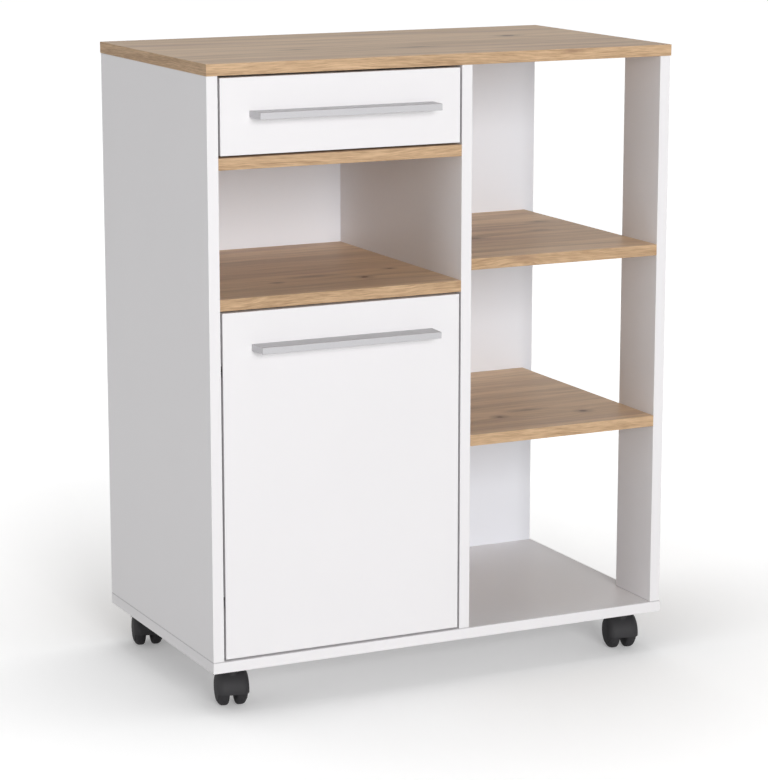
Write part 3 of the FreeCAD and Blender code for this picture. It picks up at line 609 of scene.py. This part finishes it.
def thin_panel_finish(settings):
    """Thin fibreboard: white lacquer on the side that shows, bare brown behind."""
    material, tree, shader = new_finish("thin_fibreboard", settings.gloss)
    place = object_place(tree)
    peel = placed(tree, FINE_PEEL, {"Place": place, "Size": settings.peel})
    _, y, z = node(tree, "SeparateXYZ", {0: node(tree, "TexCoord").outputs["Normal"]}).outputs
    coated = maths(tree, "MAXIMUM", maths(tree, "LESS_THAN", y, -0.5), maths(tree, "GREATER_THAN", z, 0.5))
    flecks = noise(tree, place, FIBRE_FLECKS, detail=4.0, roughness=0.7)
    clumps = noise(tree, place, FIBRE_CLUMPS, detail=3.0)
    fibre = eased(tree, chosen_number(tree, CLUMP_SHARE, flecks, clumps), 0.35, 0.65)
    bare = mixed(tree, fibre, rgba(settings.fibre_dark), rgba(settings.fibre_light))
    white = mixed(tree, peel["Clouds"], rgba(settings.lacquer), rgba(settings.lacquer_shade))
    height = chosen_number(tree, coated, flecks, peel["Height"])
    fill(tree, shader.inputs, {
        "Base Color": mixed(tree, coated, bare, white),
        "Roughness": chosen_number(tree, coated, settings.gloss + BARE_ROUGHNESS, settings.gloss),
        "Normal": bumped(tree, height, distance=0.00008, strength=0.6),
    })
    return material


ZINC_PLATE = "zinc_plate"


def metal_finish(name, base, roughness, lines, depth, metallic=1.0):
    """Metal with fine drawn lines and a soft mottle in its roughness."""
    material, tree, shader = new_finish(name, roughness)
    drawn = placed(tree, DRAWN_METAL, {"Place": object_place(tree), "Lines": lines})
    mottle = eased(tree, drawn["Mottle"], 0.3, 0.7)
    fill(tree, shader.inputs, {
        "Base Color": mixed(tree, mottle, rgba(base, strength=0.94), rgba(base)),
        "Metallic": metallic,
        "Roughness": varied(tree, roughness, drawn["Height"], swing=0.07),
        "Normal": bumped(tree, drawn["Height"], depth, strength=0.5),
    })
    return material


def moulded_finish(name, base, bloom, roughness, peel_size, specular=0.5):
    """Moulded plastic or powder coat: a fine grain and a pale bloom in clouds."""
    material, tree, shader = new_finish(name, roughness)
    peel = placed(tree, FINE_PEEL, {"Place": object_place(tree), "Size": peel_size})
    cover = eased(tree, peel["Clouds"], 0.40, 0.75, high=0.5)
    fill(tree, shader.inputs, {
        "Base Color": mixed(tree, cover, rgba(base), rgba(bloom)),
        "Roughness": varied(tree, roughness, peel["Height"], swing=0.05),
        "Normal": bumped(tree, peel["Height"], distance=0.00006, strength=0.7),
        "Specular IOR Level": specular,
    })
    return material


# Repeats per metre of the beech's flecks
BEECH_FLECKS = (90, 400, 90)


def beech_finish(base):
    """Raw beech with short dark flecks along the dowels."""
    material, tree, shader = new_finish("raw_beech", 0.65)
    flecks = noise(tree, object_place(tree), BEECH_FLECKS, detail=3.0)
    light = eased(tree, flecks, 0.35, 0.65)
    fill(tree, shader.inputs, {
        "Base Color": mixed(tree, light, rgba(base, strength=0.7), rgba(base)),
        "Normal": bumped(tree, flecks, distance=0.0001, strength=0.5),
    })
    return material


# Distances under which points of a modelled piece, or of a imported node, are one
WELD = 0.000002
PACKED_WELD = 0.000001

# Widest angle between two faces that smooth shading rounds over
SMOOTH_ANGLE = math.radians(35)

# Least part of a normal along Z on a face that counts as level
LEVEL = 0.9

# Corners of the widest face that stays whole after a cut
QUAD = 4


def clear_selection():
    """Leaves nothing selected, so that an operator acts on the next piece alone."""
    bpy.ops.object.select_all(action="DESELECT")


def pick(*pieces):
    """Selects pieces and nothing else, with the first one active."""
    clear_selection()
    for piece in pieces:
        piece.select_set(True)
    bpy.context.view_layer.objects.active = pieces[0]


def select_faces(test):
    """Selects the faces of the piece in edit mode that pass a test, and no others."""
    bpy.ops.mesh.select_mode(type="FACE")
    bpy.ops.mesh.select_all(action="DESELECT")
    mesh = bpy.context.object.data
    shape = bmesh.from_edit_mesh(mesh)
    for face in shape.faces:
        face.select_set(test(face))
    bmesh.update_edit_mesh(mesh)


def extrude(step):
    """Extrudes what is selected by a step."""
    bpy.ops.mesh.extrude_region_move(TRANSFORM_OT_translate={"value": tuple(step)})


def outline(points):
    """A new piece whose edges run through points, left in edit mode with all selected."""
    clear_selection()
    bpy.ops.mesh.primitive_plane_add(size=0.01)
    bpy.ops.object.mode_set(mode="EDIT")
    bpy.ops.mesh.merge(type="CENTER")
    bpy.ops.transform.translate(value=points[0])
    for start, end in zip(points, points[1:]):
        extrude(end - start)
    bpy.ops.mesh.select_all(action="SELECT")
    return bpy.context.object


def closed_up():
    """Merges the doubles of the piece in edit mode, turns its faces out and leaves edit mode."""
    bpy.ops.mesh.select_all(action="SELECT")
    bpy.ops.mesh.remove_doubles(threshold=WELD)
    bpy.ops.mesh.normals_make_consistent(inside=False)
    bpy.ops.object.mode_set(mode="OBJECT")


def combined(piece, tool, operation):
    """Joins a tool shape to a piece or cuts it away, and removes the tool."""
    pick(piece)
    bpy.ops.object.modifier_add(type="BOOLEAN")
    modifier = piece.modifiers[-1]
    modifier.object = tool
    modifier.operation = operation
    modifier.solver = "MANIFOLD"
    bpy.ops.object.modifier_apply(modifier=modifier.name)
    bpy.data.objects.remove(tool)


def smoothed(piece, finish):
    """Gives a piece its finish, and smooth shading that keeps its sharp edges."""
    pick(piece)
    bpy.ops.object.shade_smooth_by_angle(angle=SMOOTH_ANGLE)
    piece.data.materials.clear()
    piece.data.materials.append(finish)


def copied(source, name, matrix):
    """A copy of a modelled piece with its own mesh, set in its place."""
    copy = source.copy()
    copy.data = source.data.copy()
    copy.name = copy.data.name = name
    copy.data.transform(matrix)
    bpy.context.collection.objects.link(copy)
    return copy


def settle(piece, body, slot, *replaced):
    """Puts a finished piece on its body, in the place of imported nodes."""
    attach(piece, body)
    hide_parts(*replaced)


def joined(pieces, name):
    """Joins pieces into one that has a new name."""
    pick(*pieces)
    bpy.ops.object.join()
    pieces[0].name = pieces[0].data.name = name
    return pieces[0]


def solid_points(name):
    """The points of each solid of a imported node."""
    shape = bmesh.new()
    shape.from_mesh(frame["nodes"][name].data)
    bmesh.ops.remove_doubles(shape, verts=shape.verts[:], dist=PACKED_WELD)
    waiting = dict.fromkeys(shape.verts)
    solids = []
    while waiting:
        reached = [waiting.popitem()[0]]
        for vertex in reached:
            for edge in vertex.link_edges:
                other = edge.other_vert(vertex)
                if other in waiting:
                    del waiting[other]
                    reached.append(other)
        solids.append([vertex.co.copy() for vertex in reached])
    shape.free()
    return solids


def points_box(points):
    """Least and greatest corner of points."""
    return Vector(map(min, zip(*points))), Vector(map(max, zip(*points)))


def nodes_of(slot):
    """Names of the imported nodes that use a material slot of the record."""
    return [part["node"] for part in frame["record"]["subparts"] if part["material_slot"] == slot]


def dress(names, material):
    """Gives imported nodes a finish."""
    for name in names:
        for material_slot in frame["nodes"][name].material_slots:
            material_slot.material = material


class SIDEBOARD_OT_effects(bpy.types.Operator):
    """Build the node groups that the finishes share"""

    bl_idname = "sideboard.effects"
    bl_label = "Shared Effects"

    def execute(self, context):
        board_edges_group()
        oak_knot_group()
        fine_peel_group()
        drawn_metal_group()
        return {"FINISHED"}


class SIDEBOARD_OT_oak_boards(bpy.types.Operator):
    """Give the top and the shelves their oak film"""

    bl_idname = "sideboard.oak_boards"
    bl_label = "Oak Boards"

    def execute(self, context):
        dress(nodes_of("oak_board"), oak_finish(context.scene.sideboard_oak))
        return {"FINISHED"}


class SIDEBOARD_OT_white_boards(bpy.types.Operator):
    """Give the body, the fronts and the drawer their white film"""

    bl_idname = "sideboard.white_boards"
    bl_label = "White Boards"

    def execute(self, context):
        settings = context.scene.sideboard_white
        dress(nodes_of("white_board"), white_finish(settings))
        dress(nodes_of("thin_panel"), thin_panel_finish(settings))
        return {"FINISHED"}


# Repeats per metre of the lines in metal: drawn along X, and the same on all sides
DRAWN_ALONG_X = (40.0, 2600.0, 2600.0)
EVEN_LINES = (700.0, 700.0, 700.0)

# How much smoother than other plated steel the hinges are
HINGE_POLISH = 0.06


class SIDEBOARD_OT_fittings(bpy.types.Operator):
    """Give the handles, screws, hinges, runners and dowels their finishes"""

    bl_idname = "sideboard.fittings"
    bl_label = "Metal Fittings"

    def execute(self, context):
        settings = context.scene.sideboard_metal
        plated = settings.plated_gloss
        finishes = {
            "handle_metal": metal_finish("matt_silver", settings.handle, settings.handle_gloss,
                                         DRAWN_ALONG_X, depth=0.00001, metallic=0.3),
            "zinc_steel": metal_finish(ZINC_PLATE, settings.zinc, plated, EVEN_LINES, depth=0.00004),
            "hinge_steel": metal_finish("nickel_plate", settings.nickel, plated - HINGE_POLISH,
                                        EVEN_LINES, depth=0.00002),
            "runner_steel": moulded_finish("white_powder_coat", settings.powder, settings.powder,
                                           roughness=0.5, peel_size=0.0012),
            "roller_nylon": moulded_finish("white_nylon", settings.nylon, settings.nylon,
                                           roughness=0.42, peel_size=0.002),
            "beech": beech_finish(settings.beech),
        }
        for slot, finish in finishes.items():
            dress(nodes_of(slot), finish)
        return {"FINISHED"}


def profile_point(x, radius, turn=0.0):
    """A point of a turned profile, where the turn runs from straight up towards the front."""
    return Vector((x, -radius * math.sin(turn), radius * math.cos(turn)))


def quarter(centre_x, centre_radius, radius, degrees):
    """Points of a rounded shoulder, by their angles from straight out."""
    for turn in map(math.radians, degrees):
        yield centre_x + radius * math.sin(turn), centre_radius + radius * math.cos(turn)


def spin(steps, turn):
    """Spins what is selected about the X axis."""
    bpy.ops.mesh.spin(steps=steps, angle=turn, center=(0, 0, 0), axis=(1, 0, 0))


def standing_cylinder(sides, radius, foot, top, centre=(0.0, 0.0)):
    """A cylinder that stands between two heights."""
    clear_selection()
    bpy.ops.mesh.primitive_cylinder_add(vertices=sides, radius=radius, depth=top - foot,
                                        location=(centre[0], centre[1], (top + foot) / 2))
    return bpy.context.object


def lying_cylinder(sides, radius, width):
    """A cylinder on the X axis."""
    clear_selection()
    bpy.ops.mesh.primitive_cylinder_add(vertices=sides, radius=radius, depth=width,
                                        rotation=(0, math.pi / 2, 0))
    return bpy.context.object


# Sides of a castor's round shapes
WHEEL_SIDES = 64
HOOD_STEPS = 48
HUB_SIDES = 48
BOSS_SIDES = 64
ROOF_SIDES = 96

# Gaps from a wheel to its axle, to the hood's web and to the hood
AXLE_GAP = 0.0001
WEB_GAP = 0.0003
HOOD_GAP = 0.0012

# A wheel's bore: how far it reaches past the hood's crown
BORE_REACH = 0.0034

# A wheel's hub: radius of its face towards the web, and of its foot a step further out
HUB_FACE = 0.0076
HUB_FOOT = 0.0084
HUB_STEP = 0.0004

# Inner side of a wheel, from hollow to tread: distance from the castor's middle, depth under the tread
WHEEL_HOLLOW = ((0.0051, 0.0038), (0.0059, 0.0018), (0.0072, 0.0005), (0.0090, 0.0))

# Outer side of a wheel, from groove to domed cap: step out from its shoulder, depth under the tread
WHEEL_CAP = (
    (-0.0006, 0.0051), (-0.0006, 0.0055), (0.0002, 0.0057), (0.0008, 0.0062),
    (0.0014, 0.0080), (0.0020, 0.0115), (0.0024, 0.0155), (0.0026, 0.0200),
)
CAP_STEP = 0.0027


def castor_wheel(settings):
    """A wheel on the X axis: hollowed towards the hood's web, round tread, groove and domed cap."""
    radius, crown = settings.wheel_radius, settings.crown_half
    inner = settings.web_half + WEB_GAP
    bore = settings.axle_radius + AXLE_GAP
    bore_end = crown + BORE_REACH
    shoulder = settings.shoulder - settings.hood_wall - HOOD_GAP
    face = crown + shoulder
    profile = [(bore_end, 0.0), (bore_end, bore), (inner, bore)]
    profile += [(inner, HUB_FACE), (inner + HUB_STEP, HUB_FOOT)]
    profile += [(x, radius - depth) for x, depth in WHEEL_HOLLOW]
    profile += quarter(crown, radius - shoulder, shoulder, (0, 15, 30, 45, 58, 70))
    profile += [(face + step, radius - depth) for step, depth in WHEEL_CAP]
    profile.append((face + CAP_STEP, 0.0))
    wheel = outline([profile_point(x, reach) for x, reach in profile])
    spin(WHEEL_SIDES, math.tau)
    closed_up()
    return wheel


# The rim where the hood's shoulder turns inside: step in from its end, rise above its centre
RIM_STEP = 0.0013
RIM_RISE = 0.0023

# Fillet between the hood's roof and its web, and the bevels of the hood's ends and of its boss
WEB_FILLET = 0.001
END_BEVEL = 0.0004
BOSS_BEVEL = 0.0012


def castor_hood(settings, kingpin, boss_top, bore_foot):
    """A hood about the X axis: a shell over both wheels, a web with its hub, and the swivel boss."""
    crown, web, outer = settings.crown_half, settings.web_half, settings.hood_radius
    roof = outer - settings.hood_wall
    middle = outer - settings.shoulder
    rim = crown + settings.shoulder
    half = [(crown, outer)]
    half += quarter(crown, middle, settings.shoulder, (15, 30, 45, 60, 74))
    half.append((rim - RIM_STEP, middle + RIM_RISE))
    half += quarter(crown, middle, settings.shoulder - settings.hood_wall, (70, 50, 25, 0))
    half += [(web + WEB_FILLET, roof), (web, roof - WEB_FILLET), (web, settings.axle_radius + AXLE_GAP)]
    section = half + [(-x, reach) for x, reach in reversed(half)]
    hood = outline([profile_point(x, reach, -settings.rear_reach) for x, reach in section])
    bpy.ops.mesh.edge_face_add()
    spin(HOOD_STEPS, -(settings.rear_reach + settings.front_reach))
    select_faces(lambda face: len(face.verts) == len(section))
    bpy.ops.mesh.bevel(offset=END_BEVEL, segments=2, affect="EDGES", clamp_overlap=True)
    closed_up()
    combined(hood, lying_cylinder(HUB_SIDES, settings.hub_radius, 2 * (web + settings.hub_rise)), "UNION")

    boss = standing_cylinder(BOSS_SIDES, settings.boss_radius, middle, boss_top, kingpin)
    bpy.ops.object.mode_set(mode="EDIT")
    select_faces(lambda face: face.normal.z > LEVEL)
    bpy.ops.mesh.bevel(offset=BOSS_BEVEL, segments=3, affect="EDGES")
    bpy.ops.object.mode_set(mode="OBJECT")
    combined(boss, lying_cylinder(ROOF_SIDES, outer - settings.hood_wall / 2, 4 * rim), "DIFFERENCE")
    combined(hood, boss, "UNION")

    sleeve_foot = bore_foot - settings.sleeve_floor
    sleeve = standing_cylinder(BOSS_SIDES, settings.sleeve_radius, sleeve_foot, outer, kingpin)
    combined(hood, sleeve, "UNION")
    bore = standing_cylinder(BOSS_SIDES, settings.bore_radius, bore_foot, boss_top + outer, kingpin)
    combined(hood, bore, "DIFFERENCE")
    bpy.ops.object.mode_set(mode="EDIT")
    select_faces(lambda face: len(face.verts) > QUAD)
    bpy.ops.mesh.quads_convert_to_tris()
    bpy.ops.object.mode_set(mode="OBJECT")
    return hood


# Grain of the plastic on hoods and treads, the extra roughness of the treads and the shine of both
HOOD_GRAIN = 0.0009
TREAD_GRAIN = 0.0007
TREAD_ROUGHNESS = 0.08
CASTOR_SHINE = 0.22

# Turn of the modelled wheel about Z on each side of a castor
WHEEL_TURNS = {"left": math.pi, "right": 0.0}


class SIDEBOARD_OT_castors(bpy.types.Operator):
    """Model a castor's hood and wheels, and set them on every castor"""

    bl_idname = "sideboard.castors"
    bl_label = "Castors"

    def execute(self, context):
        settings = context.scene.sideboard_castor
        hood_finish = moulded_finish("black_hood", settings.hood, settings.dust, settings.gloss,
                                     HOOD_GRAIN, CASTOR_SHINE)
        tread_finish = moulded_finish("black_tread", settings.tread, settings.dust,
                                      settings.gloss + TREAD_ROUGHNESS, TREAD_GRAIN, CASTOR_SHINE)
        joints = {joint["name"]: joint for joint in frame["joints"]}
        swivels = [name for name in joints if name.endswith("_castor_swivel")]
        wheel = castor_wheel(settings)
        smoothed(wheel, tread_finish)
        hood = None
        for swivel in swivels:
            castor = joints[swivel]["child"]
            left, right = [joints[f"{castor}_{side}_wheel_spin"] for side in WHEEL_TURNS]
            axle = Vector(left["axis"]).normalized()
            centre = (Vector(left["pos_m"]) + Vector(right["pos_m"])) / 2
            place = Matrix.Translation(centre) @ Matrix.Rotation(math.atan2(axle.y, axle.x), 4, "Z")
            if hood is None:
                kingpin = place.inverted() @ Vector(joints[swivel]["pos_m"])
                pin_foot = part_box("castor_kingpins")[0].z - centre.z
                hood = castor_hood(settings, kingpin, kingpin.z - settings.swivel_gap,
                                   pin_foot - settings.swivel_gap)
                smoothed(hood, hood_finish)
            piece = copied(hood, f"{castor}_moulded_hood", place)
            settle(piece, castor, "castor_plastic", f"{castor}_hood")
            for side, turn in WHEEL_TURNS.items():
                body = f"{castor}_{side}_wheel"
                turned = place @ Matrix.Rotation(turn, 4, "Z")
                piece = copied(wheel, f"{castor}_moulded_{side}_wheel", turned)
                settle(piece, body, "castor_plastic", body)
        bpy.data.objects.remove(wheel)
        bpy.data.objects.remove(hood)
        return {"FINISHED"}


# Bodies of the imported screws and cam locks
SCREW_BODIES = {
    "mounting_screws": "carcass",
    "bottom_screws": "carcass",
    "drawer_screws": "drawer",
    "door_screws": "door",
}
LOCK_BODIES = {"cam_locks": "carcass", "drawer_cam_locks": "drawer"}
SOCKET_SCREWS = ("bottom_screws",)

# Turns each fastener on from the last, so that no two slots line up
GOLDEN_ANGLE = math.pi * (3 - math.sqrt(5))

# Sides of a modelled screw's head and of its socket
SCREW_SIDES = 24
SOCKET_SIDES = 6

# Width of a screw's tip as a share of its shank, and a cutter's top as a share of the head's height
TIP_SHARE = 0.3
CUTTER_TOP = 1.5

# Decimals of a metre to which a packed screw's sizes are rounded
DECIMALS = 5


def facing(place, way, turn):
    """The matrix that sets Z along a way at a place, turned about it."""
    standing = way.to_track_quat("Z", "Y").to_matrix().to_4x4()
    return Matrix.Translation(place) @ standing @ Matrix.Rotation(turn, 4, "Z")


def cross_cutter(arm, half_slot, foot, top):
    """A cross-shaped prism about the Z axis."""
    corners = []
    for quarter_turn in range(4):
        turn = Matrix.Rotation(quarter_turn * math.pi / 2, 3, "Z")
        for x, y in ((arm, -half_slot), (arm, half_slot), (half_slot, half_slot)):
            corners.append(turn @ Vector((x, y, foot)))
    cutter = outline(corners)
    bpy.ops.mesh.edge_face_add()
    extrude((0, 0, top - foot))
    closed_up()
    return cutter


def recessed_screw(settings, head, head_height, shank, shank_length, socket):
    """A screw with its seat at the origin and its shank down the Z axis."""
    screw = standing_cylinder(SCREW_SIDES, head, 0.0, head_height)
    bpy.ops.object.transform_apply(location=True, rotation=False, scale=False)
    bpy.ops.object.mode_set(mode="EDIT")
    select_faces(lambda face: face.normal.z > LEVEL)
    bpy.ops.mesh.bevel(offset=settings.rim * head_height, segments=3, affect="EDGES")
    select_faces(lambda face: face.normal.z < -LEVEL)
    bpy.ops.mesh.inset(thickness=head - shank)
    extrude((0, 0, settings.point - shank_length))
    extrude((0, 0, -settings.point))
    bpy.ops.transform.resize(value=(TIP_SHARE, TIP_SHARE, 1.0), center_override=(0, 0, -shank_length))
    bpy.ops.object.mode_set(mode="OBJECT")

    foot, top = head_height * (1 - settings.cross_depth), head_height * CUTTER_TOP
    if socket:
        cutter = standing_cylinder(SOCKET_SIDES, head * settings.socket, foot, top)
    else:
        cutter = cross_cutter(head * settings.cross_arm, head * settings.cross_slot, foot, top)
    combined(screw, cutter, "DIFFERENCE")
    return screw


def screw_place(points):
    """Seat, outward way and sizes of a packed screw."""
    low, high = points_box(points)
    size = high - low
    axis = max(range(3), key=lambda side: size[side])
    middle = (low + high) / 2
    reach = {}
    for point in points:
        level = round(point[axis], DECIMALS)
        offset = point - middle
        offset[axis] = 0.0
        reach[level] = max(reach.get(level, 0.0), round(offset.length, DECIMALS))
    levels = sorted(reach, reverse=reach[max(reach)] > reach[min(reach)])
    head_top, seat, tip = levels[0], levels[1], levels[-1]
    middle[axis] = seat
    way = Vector()
    way[axis] = math.copysign(1.0, head_top - seat)
    head_height = round(abs(head_top - seat), DECIMALS)
    shank_length = round(abs(tip - seat), DECIMALS)
    return middle, way, (reach[head_top], head_height, reach[tip], shank_length)


class SIDEBOARD_OT_screws(bpy.types.Operator):
    """Model each size of screw with its recess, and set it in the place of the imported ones"""

    bl_idname = "sideboard.screws"
    bl_label = "Screws"

    def execute(self, context):
        settings = context.scene.sideboard_fastener
        models = {}
        for name, body in SCREW_BODIES.items():
            copies = []
            for index, points in enumerate(solid_points(name)):
                seat, way, sizes = screw_place(points)
                model = (*sizes, name in SOCKET_SCREWS)
                if model not in models:
                    models[model] = recessed_screw(settings, *model)
                    smoothed(models[model], bpy.data.materials[ZINC_PLATE])
                copies.append(copied(models[model], "screw", facing(seat, way, index * GOLDEN_ANGLE)))
            settle(joined(copies, "recessed_" + name), body, "zinc_steel", name)
        for model in models.values():
            bpy.data.objects.remove(model)
        return {"FINISHED"}


def lock_mouth(points):
    """Centre of a packed cam lock's open end, which lies on a board's face, and its outward way."""
    low, high = points_box(points)
    size = high - low
    axis = min(range(3), key=lambda side: size[side])
    middle = (low + high) / 2
    for board in nodes_of("oak_board") + nodes_of("white_board"):
        least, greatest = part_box(board)
        if not all(least[side] < middle[side] < greatest[side] for side in range(3)):
            continue
        mouth, way = middle.copy(), Vector()
        upper = abs(high[axis] - greatest[axis]) < abs(low[axis] - least[axis])
        mouth[axis] = high[axis] if upper else low[axis]
        way[axis] = 1.0 if upper else -1.0
        return mouth, way
    raise ValueError("A cam lock lies in no board")


class SIDEBOARD_OT_cam_locks(bpy.types.Operator):
    """Cut a driver's cross into the mouth of every cam lock"""

    bl_idname = "sideboard.cam_locks"
    bl_label = "Cam Locks"

    def execute(self, context):
        settings = context.scene.sideboard_fastener
        cross = cross_cutter(settings.cam_arm, settings.cam_slot, -settings.cam_depth, settings.cam_depth)
        for name, body in LOCK_BODIES.items():
            locks = bpy.data.objects.new("slotted_" + name, frame["nodes"][name].data.copy())
            context.collection.objects.link(locks)
            pick(locks)
            bpy.ops.object.mode_set(mode="EDIT")
            closed_up()
            cutters = []
            for index, points in enumerate(solid_points(name)):
                mouth, way = lock_mouth(points)
                cutters.append(copied(cross, "cutter", facing(mouth, way, index * GOLDEN_ANGLE)))
            combined(locks, joined(cutters, "cutters"), "DIFFERENCE")
            smoothed(locks, bpy.data.materials[ZINC_PLATE])
            settle(locks, body, "zinc_steel", name)
        bpy.data.objects.remove(cross)
        return {"FINISHED"}


# Plain white of the floor's glow and of the background
WHITE = (1.0, 1.0, 1.0, 1.0)

# Rays that look for the part round each point of the floor, and sides of the floor
SHADOW_SAMPLES = 16
FLOOR_SIDES = 96

# Ways from the part to the lamps
FRONT_WAY = Vector((-0.12, -1.0, 0.22))
SIDE_WAY = Vector((-1.0, -0.12, 0.10))
TOP_WAY = Vector((0.0, -0.10, 1.0))


def seen_rays(tree):
    """One for rays that show the background, and nothing for rays that light the part."""
    path = node(tree, "LightPath").outputs
    seen = maths(tree, "MAXIMUM", path["Is Camera Ray"], path["Is Glossy Ray"])
    return maths(tree, "MAXIMUM", seen, path["Is Transmission Ray"])


def floor_finish(settings):
    """Pale floor that keeps the part's shadow and shows as white around it, with a painted soft shadow where its
    glow dims near the part.
    """
    material = bpy.data.materials.new("pale_floor")
    material.use_nodes = True
    tree = material.node_tree
    tree.nodes.clear()
    matt = node(tree, "BsdfDiffuse", {"Color": rgba(settings.floor)}).outputs[0]
    # Painted shadow: the glow that camera and reflection rays see fades with the occlusion round each point, so
    # the floor darkens under and beside the part
    open_sky = node(tree, "AmbientOcclusion", {"Distance": settings.shadow_reach},
                    samples=SHADOW_SAMPLES).outputs["AO"]
    open_sky = maths(tree, "POWER", open_sky, settings.shadow_depth)
    lift = node(tree, "MapRange", {"Value": open_sky, "To Min": settings.shadow_lift,
                                   "To Max": settings.floor_lift}).outputs["Result"]
    lift = maths(tree, "MULTIPLY", seen_rays(tree), lift)
    white = node(tree, "Emission", {"Color": WHITE, "Strength": lift}).outputs[0]
    surface = node(tree, "AddShader", {0: matt, 1: white}).outputs[0]
    node(tree, "OutputMaterial", {"Surface": surface})
    return material


def studio_world(settings):
    """Even light all round, which shows as plain white."""
    world = bpy.data.worlds.new("studio")
    world.use_nodes = True
    tree = world.node_tree
    tree.nodes.clear()
    light = node(tree, "Background", {"Color": WHITE, "Strength": settings.ambient}).outputs[0]
    white = node(tree, "Background", {"Color": WHITE, "Strength": 1.0}).outputs[0]
    surface = node(tree, "MixShader", {0: seen_rays(tree), 1: light, 2: white}).outputs[0]
    node(tree, "OutputWorld", {"Surface": surface})
    return world


def soft_lamp(name, target, direction, light, settings):
    """A square lamp that gives the stated light on a surface facing it at the target."""
    reach = direction.normalized() * settings.lamp_distance
    bpy.ops.object.light_add(type="AREA", location=target + reach)
    lamp = bpy.context.object
    lamp.name = name
    lamp.data.shape = "SQUARE"
    lamp.data.size = settings.lamp_size
    lamp.data.energy = light * math.pi ** 2 * reach.length_squared
    lamp.rotation_mode = "QUATERNION"
    lamp.rotation_quaternion = reach.to_track_quat("Z", "Y")


class SIDEBOARD_OT_stage(bpy.types.Operator):
    """Set up the floor, the light and the camera"""

    bl_idname = "sideboard.stage"
    bl_label = "Stage"

    def execute(self, context):
        settings = context.scene.sideboard_stage
        context.scene.view_settings.view_transform = "Standard"
        context.scene.world = studio_world(settings)

        clear_selection()
        bpy.ops.mesh.primitive_circle_add(vertices=FLOOR_SIDES, radius=settings.floor_radius,
                                          fill_type="NGON")
        floor = context.object
        floor.name = "studio_floor"
        floor.data.materials.append(floor_finish(settings))

        target = Vector(settings.target)
        soft_lamp("front_lamp", target, FRONT_WAY, settings.front, settings)
        soft_lamp("side_lamp", target, SIDE_WAY, settings.side, settings)
        soft_lamp("top_lamp", target, TOP_WAY, settings.above, settings)

        flat = math.cos(settings.elevation)
        back = Vector((math.sin(settings.azimuth) * flat, -math.cos(settings.azimuth) * flat,
                       math.sin(settings.elevation)))
        bpy.ops.object.camera_add(location=target + back * settings.distance)
        camera = context.object
        camera.name = "photo_camera"
        camera.data.lens = settings.lens
        camera.rotation_mode = "QUATERNION"
        camera.rotation_quaternion = back.to_track_quat("Z", "Y")
        context.scene.camera = camera
        return {"FINISHED"}


OPERATORS = (
    SIDEBOARD_OT_effects,
    SIDEBOARD_OT_oak_boards,
    SIDEBOARD_OT_white_boards,
    SIDEBOARD_OT_fittings,
    SIDEBOARD_OT_castors,
    SIDEBOARD_OT_screws,
    SIDEBOARD_OT_cam_locks,
    SIDEBOARD_OT_stage,
)


class SIDEBOARD_PT_tools(bpy.types.Panel):
    """Steps that finish the sideboard, in order"""

    bl_idname = "SIDEBOARD_PT_tools"
    bl_label = "Sideboard"
    bl_space_type = "VIEW_3D"
    bl_region_type = "UI"
    bl_category = "Sideboard"

    def draw(self, context):
        for operator in OPERATORS:
            self.layout.operator(operator.bl_idname)


SETTINGS = {
    "sideboard_oak": OakSettings,
    "sideboard_white": WhiteSettings,
    "sideboard_metal": MetalSettings,
    "sideboard_castor": CastorSettings,
    "sideboard_fastener": FastenerSettings,
    "sideboard_stage": StageSettings,
}


def register():
    """Registers the settings, the operators and the panel."""
    for name, group in SETTINGS.items():
        bpy.utils.register_class(group)
        setattr(bpy.types.Scene, name, PointerProperty(type=group))
    for shown in (*OPERATORS, SIDEBOARD_PT_tools):
        bpy.utils.register_class(shown)


def unregister():
    """Removes what register adds."""
    for shown in (SIDEBOARD_PT_tools, *reversed(OPERATORS)):
        bpy.utils.unregister_class(shown)
    for name, group in SETTINGS.items():
        delattr(bpy.types.Scene, name)
        bpy.utils.unregister_class(group)


def main():
    """Runs every step in order."""
    register()
    for operator in OPERATORS:
        family, step = operator.bl_idname.split(".")
        getattr(getattr(bpy.ops, family), step)()


if __name__ == "__main__":
    main()
